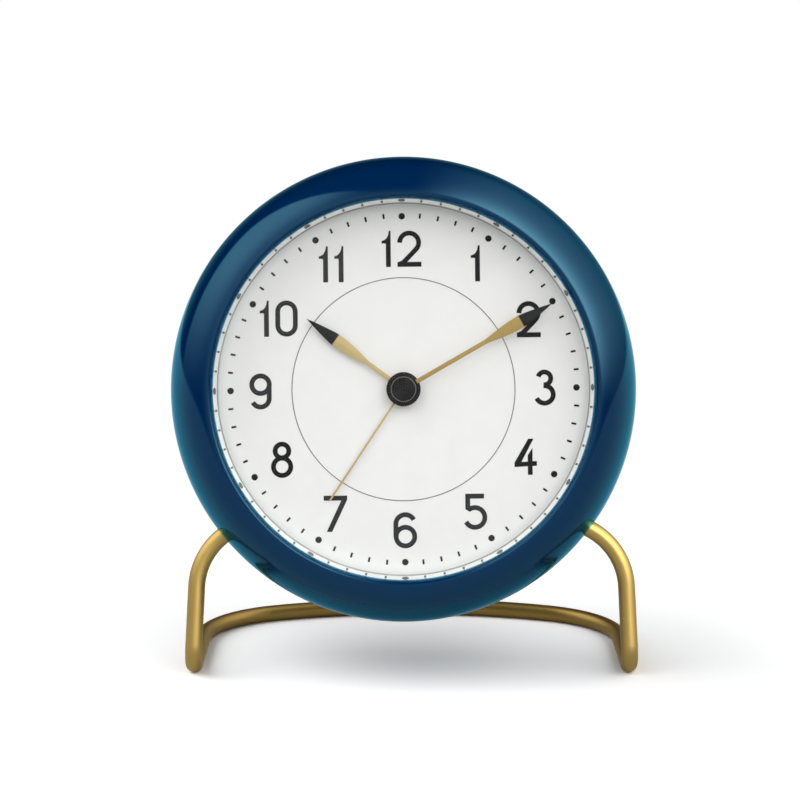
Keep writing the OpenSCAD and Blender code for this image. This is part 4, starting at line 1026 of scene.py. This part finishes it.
cell_at = (clock @ Matrix.Translation((plus_end_x, battery_y, battery_z))
           @ Matrix.Rotation(-quarter_turn, 4, "Y"))
place_piece("battery_can", turned_piece("battery_can", can_profile, bright, capped=True),
            cell_at, "case", "steel", sharp=25)
sleeve = Finish("battery_sleeve")
spot = sleeve.node("ShaderNodeMapping", {"vector_type": "TEXTURE"}, {
    "Vector": sleeve.place(), "Location": cell_at.translation})
side, depth, height = sleeve.parts(spot)
pale = ((side - band_at).size() < band_half).most((side - line_at).size() < line_half)
overlap = (height - overlap_at).size() < overlap_half
sleeve.set(
    Base_Color=sleeve.colours(pale, rgb(38, 44, 52), rgb(196, 198, 200)),
    Roughness=0.24 + 0.1 * sleeve.noise(spot, 700, 2))
sleeve.bump(overlap + 0.2 * sleeve.noise(spot, 90, 2), 0.00005, 0.4)
place_piece("battery_wrap", turned_piece("battery_wrap", sleeve_profile, sleeve), cell_at,
            "case", "battery_sleeve", "battery", sharp=35)

# Battery contacts and spring
# Two nickelled plates, and at the minus end a coned wire spring of two turns.
dress(bright, "battery_contact")
spring = Grower("coned_spring", Turns=2.0, Foot_radius=4.5, Head_radius=2.6, Rise=2.4,
                Wire_radius=0.35)
coil = spring.node("GeometryNodeCurveSpiral", {}, {
    "Resolution": 64, "Rotations": spring.size("Turns"), "Start Radius": spring.size("Foot_radius"),
    "End Radius": spring.size("Head_radius"), "Height": spring.size("Rise")})
wire = spring.node("GeometryNodeCurvePrimitiveCircle", {}, {
    "Resolution": 16, "Radius": spring.size("Wire_radius")})
coil = spring.node("GeometryNodeCurveToMesh", {}, {
    "Curve": coil, "Profile Curve": wire, "Fill Caps": True})
place_piece("battery_spring_wire", spring.grow(coil, bright, points_mesh("spring", [])),
            clock @ Matrix.Translation((spring_foot_x, battery_y, battery_z))
            @ Matrix.Rotation(quarter_turn, 4, "Y"),
            "case", "steel", "battery_spring")

# Battery door
# A thin plate in the cover's colour that slides sideways in its rails. It has half-round ribs
# for the thumb and a plain raised arrow that shows which way it opens.
door_low_z = -37.4
door_t = 1.35
door_half_w = 28
door_half_h = 9
door_corner_r = 1.5
rib_r = 0.45
rib_length = 9.0
first_rib_x = -22
arrow = [(4, -1), (9, -1), (9, -2.6), (13, 0), (9, 2.6), (9, 1), (4, 1)]
arrow_rise = 0.4
arrow_root = 0.3
# Edges that turn more than this, in radians, are rounded
sharp_turn = 0.6


def rounded_box(half_w, half_h, corner):
    return [(sx * (half_w - corner) + corner * math.cos(math.radians(a + 90 * q)),
             sy * (half_h - corner) + corner * math.sin(math.radians(a + 90 * q)))
            for q, (sx, sy) in enumerate(((1, 1), (-1, 1), (-1, -1), (1, -1)))
            for a in (0, 15, 30, 45, 60, 75, 90)]


def slab(bm, shape, low, high):
    rows = [[bm.verts.new((x, y, z)) for x, y in shape] for z in (low, high)]
    close_band(bm, rows)
    bm.faces.new(rows[0])
    bm.faces.new(rows[1])


bm = bmesh.new()
slab(bm, rounded_box(door_half_w, door_half_h, door_corner_r), door_low_z, door_low_z + door_t)
slab(bm, arrow, door_low_z - arrow_rise, door_low_z + arrow_root)
bmesh.ops.recalc_face_normals(bm, faces=bm.faces)
bmesh.ops.bevel(bm, geom=[e for e in bm.edges if e.calc_face_angle(0) > sharp_turn],
                offset=0.15, segments=2, profile=0.5, affect="EDGES")
door_plate = mesh_of(bm, "door_plate", cover_blue)
ribs = Grower("thumb_ribs", Rib_count=7, Rib_pitch=1.7, Rib_radius=rib_r, Rib_length=rib_length)
bar = ribs.move(ribs.node("GeometryNodeMeshCylinder", {}, {
    "Vertices": 24, "Radius": ribs.size("Rib_radius"), "Depth": ribs.size("Rib_length")}),
    turn=(math.radians(90), 0, 0))
row = ribs.move(ribs.node("GeometryNodeMeshLine", {}, {
    "Count": ribs.size("Rib_count"), "Offset": ribs.node(
        "ShaderNodeCombineXYZ", {}, {0: ribs.size("Rib_pitch")})}), (first_rib_x, 0, door_low_z))
ribs_mesh = ribs.grow(
    ribs.node("GeometryNodeJoinGeometry", {}, {"Geometry": [
        ribs.base, ribs.node("GeometryNodeInstanceOnPoints", {}, {
            "Points": row, "Instance": bar})]}), cover_blue, door_plate)
place_piece("battery_door_plate", ribs_mesh, clock @ Matrix.Translation((0, battery_y, 0)),
            "door", "case_plastic", "battery_door", sharp=35)
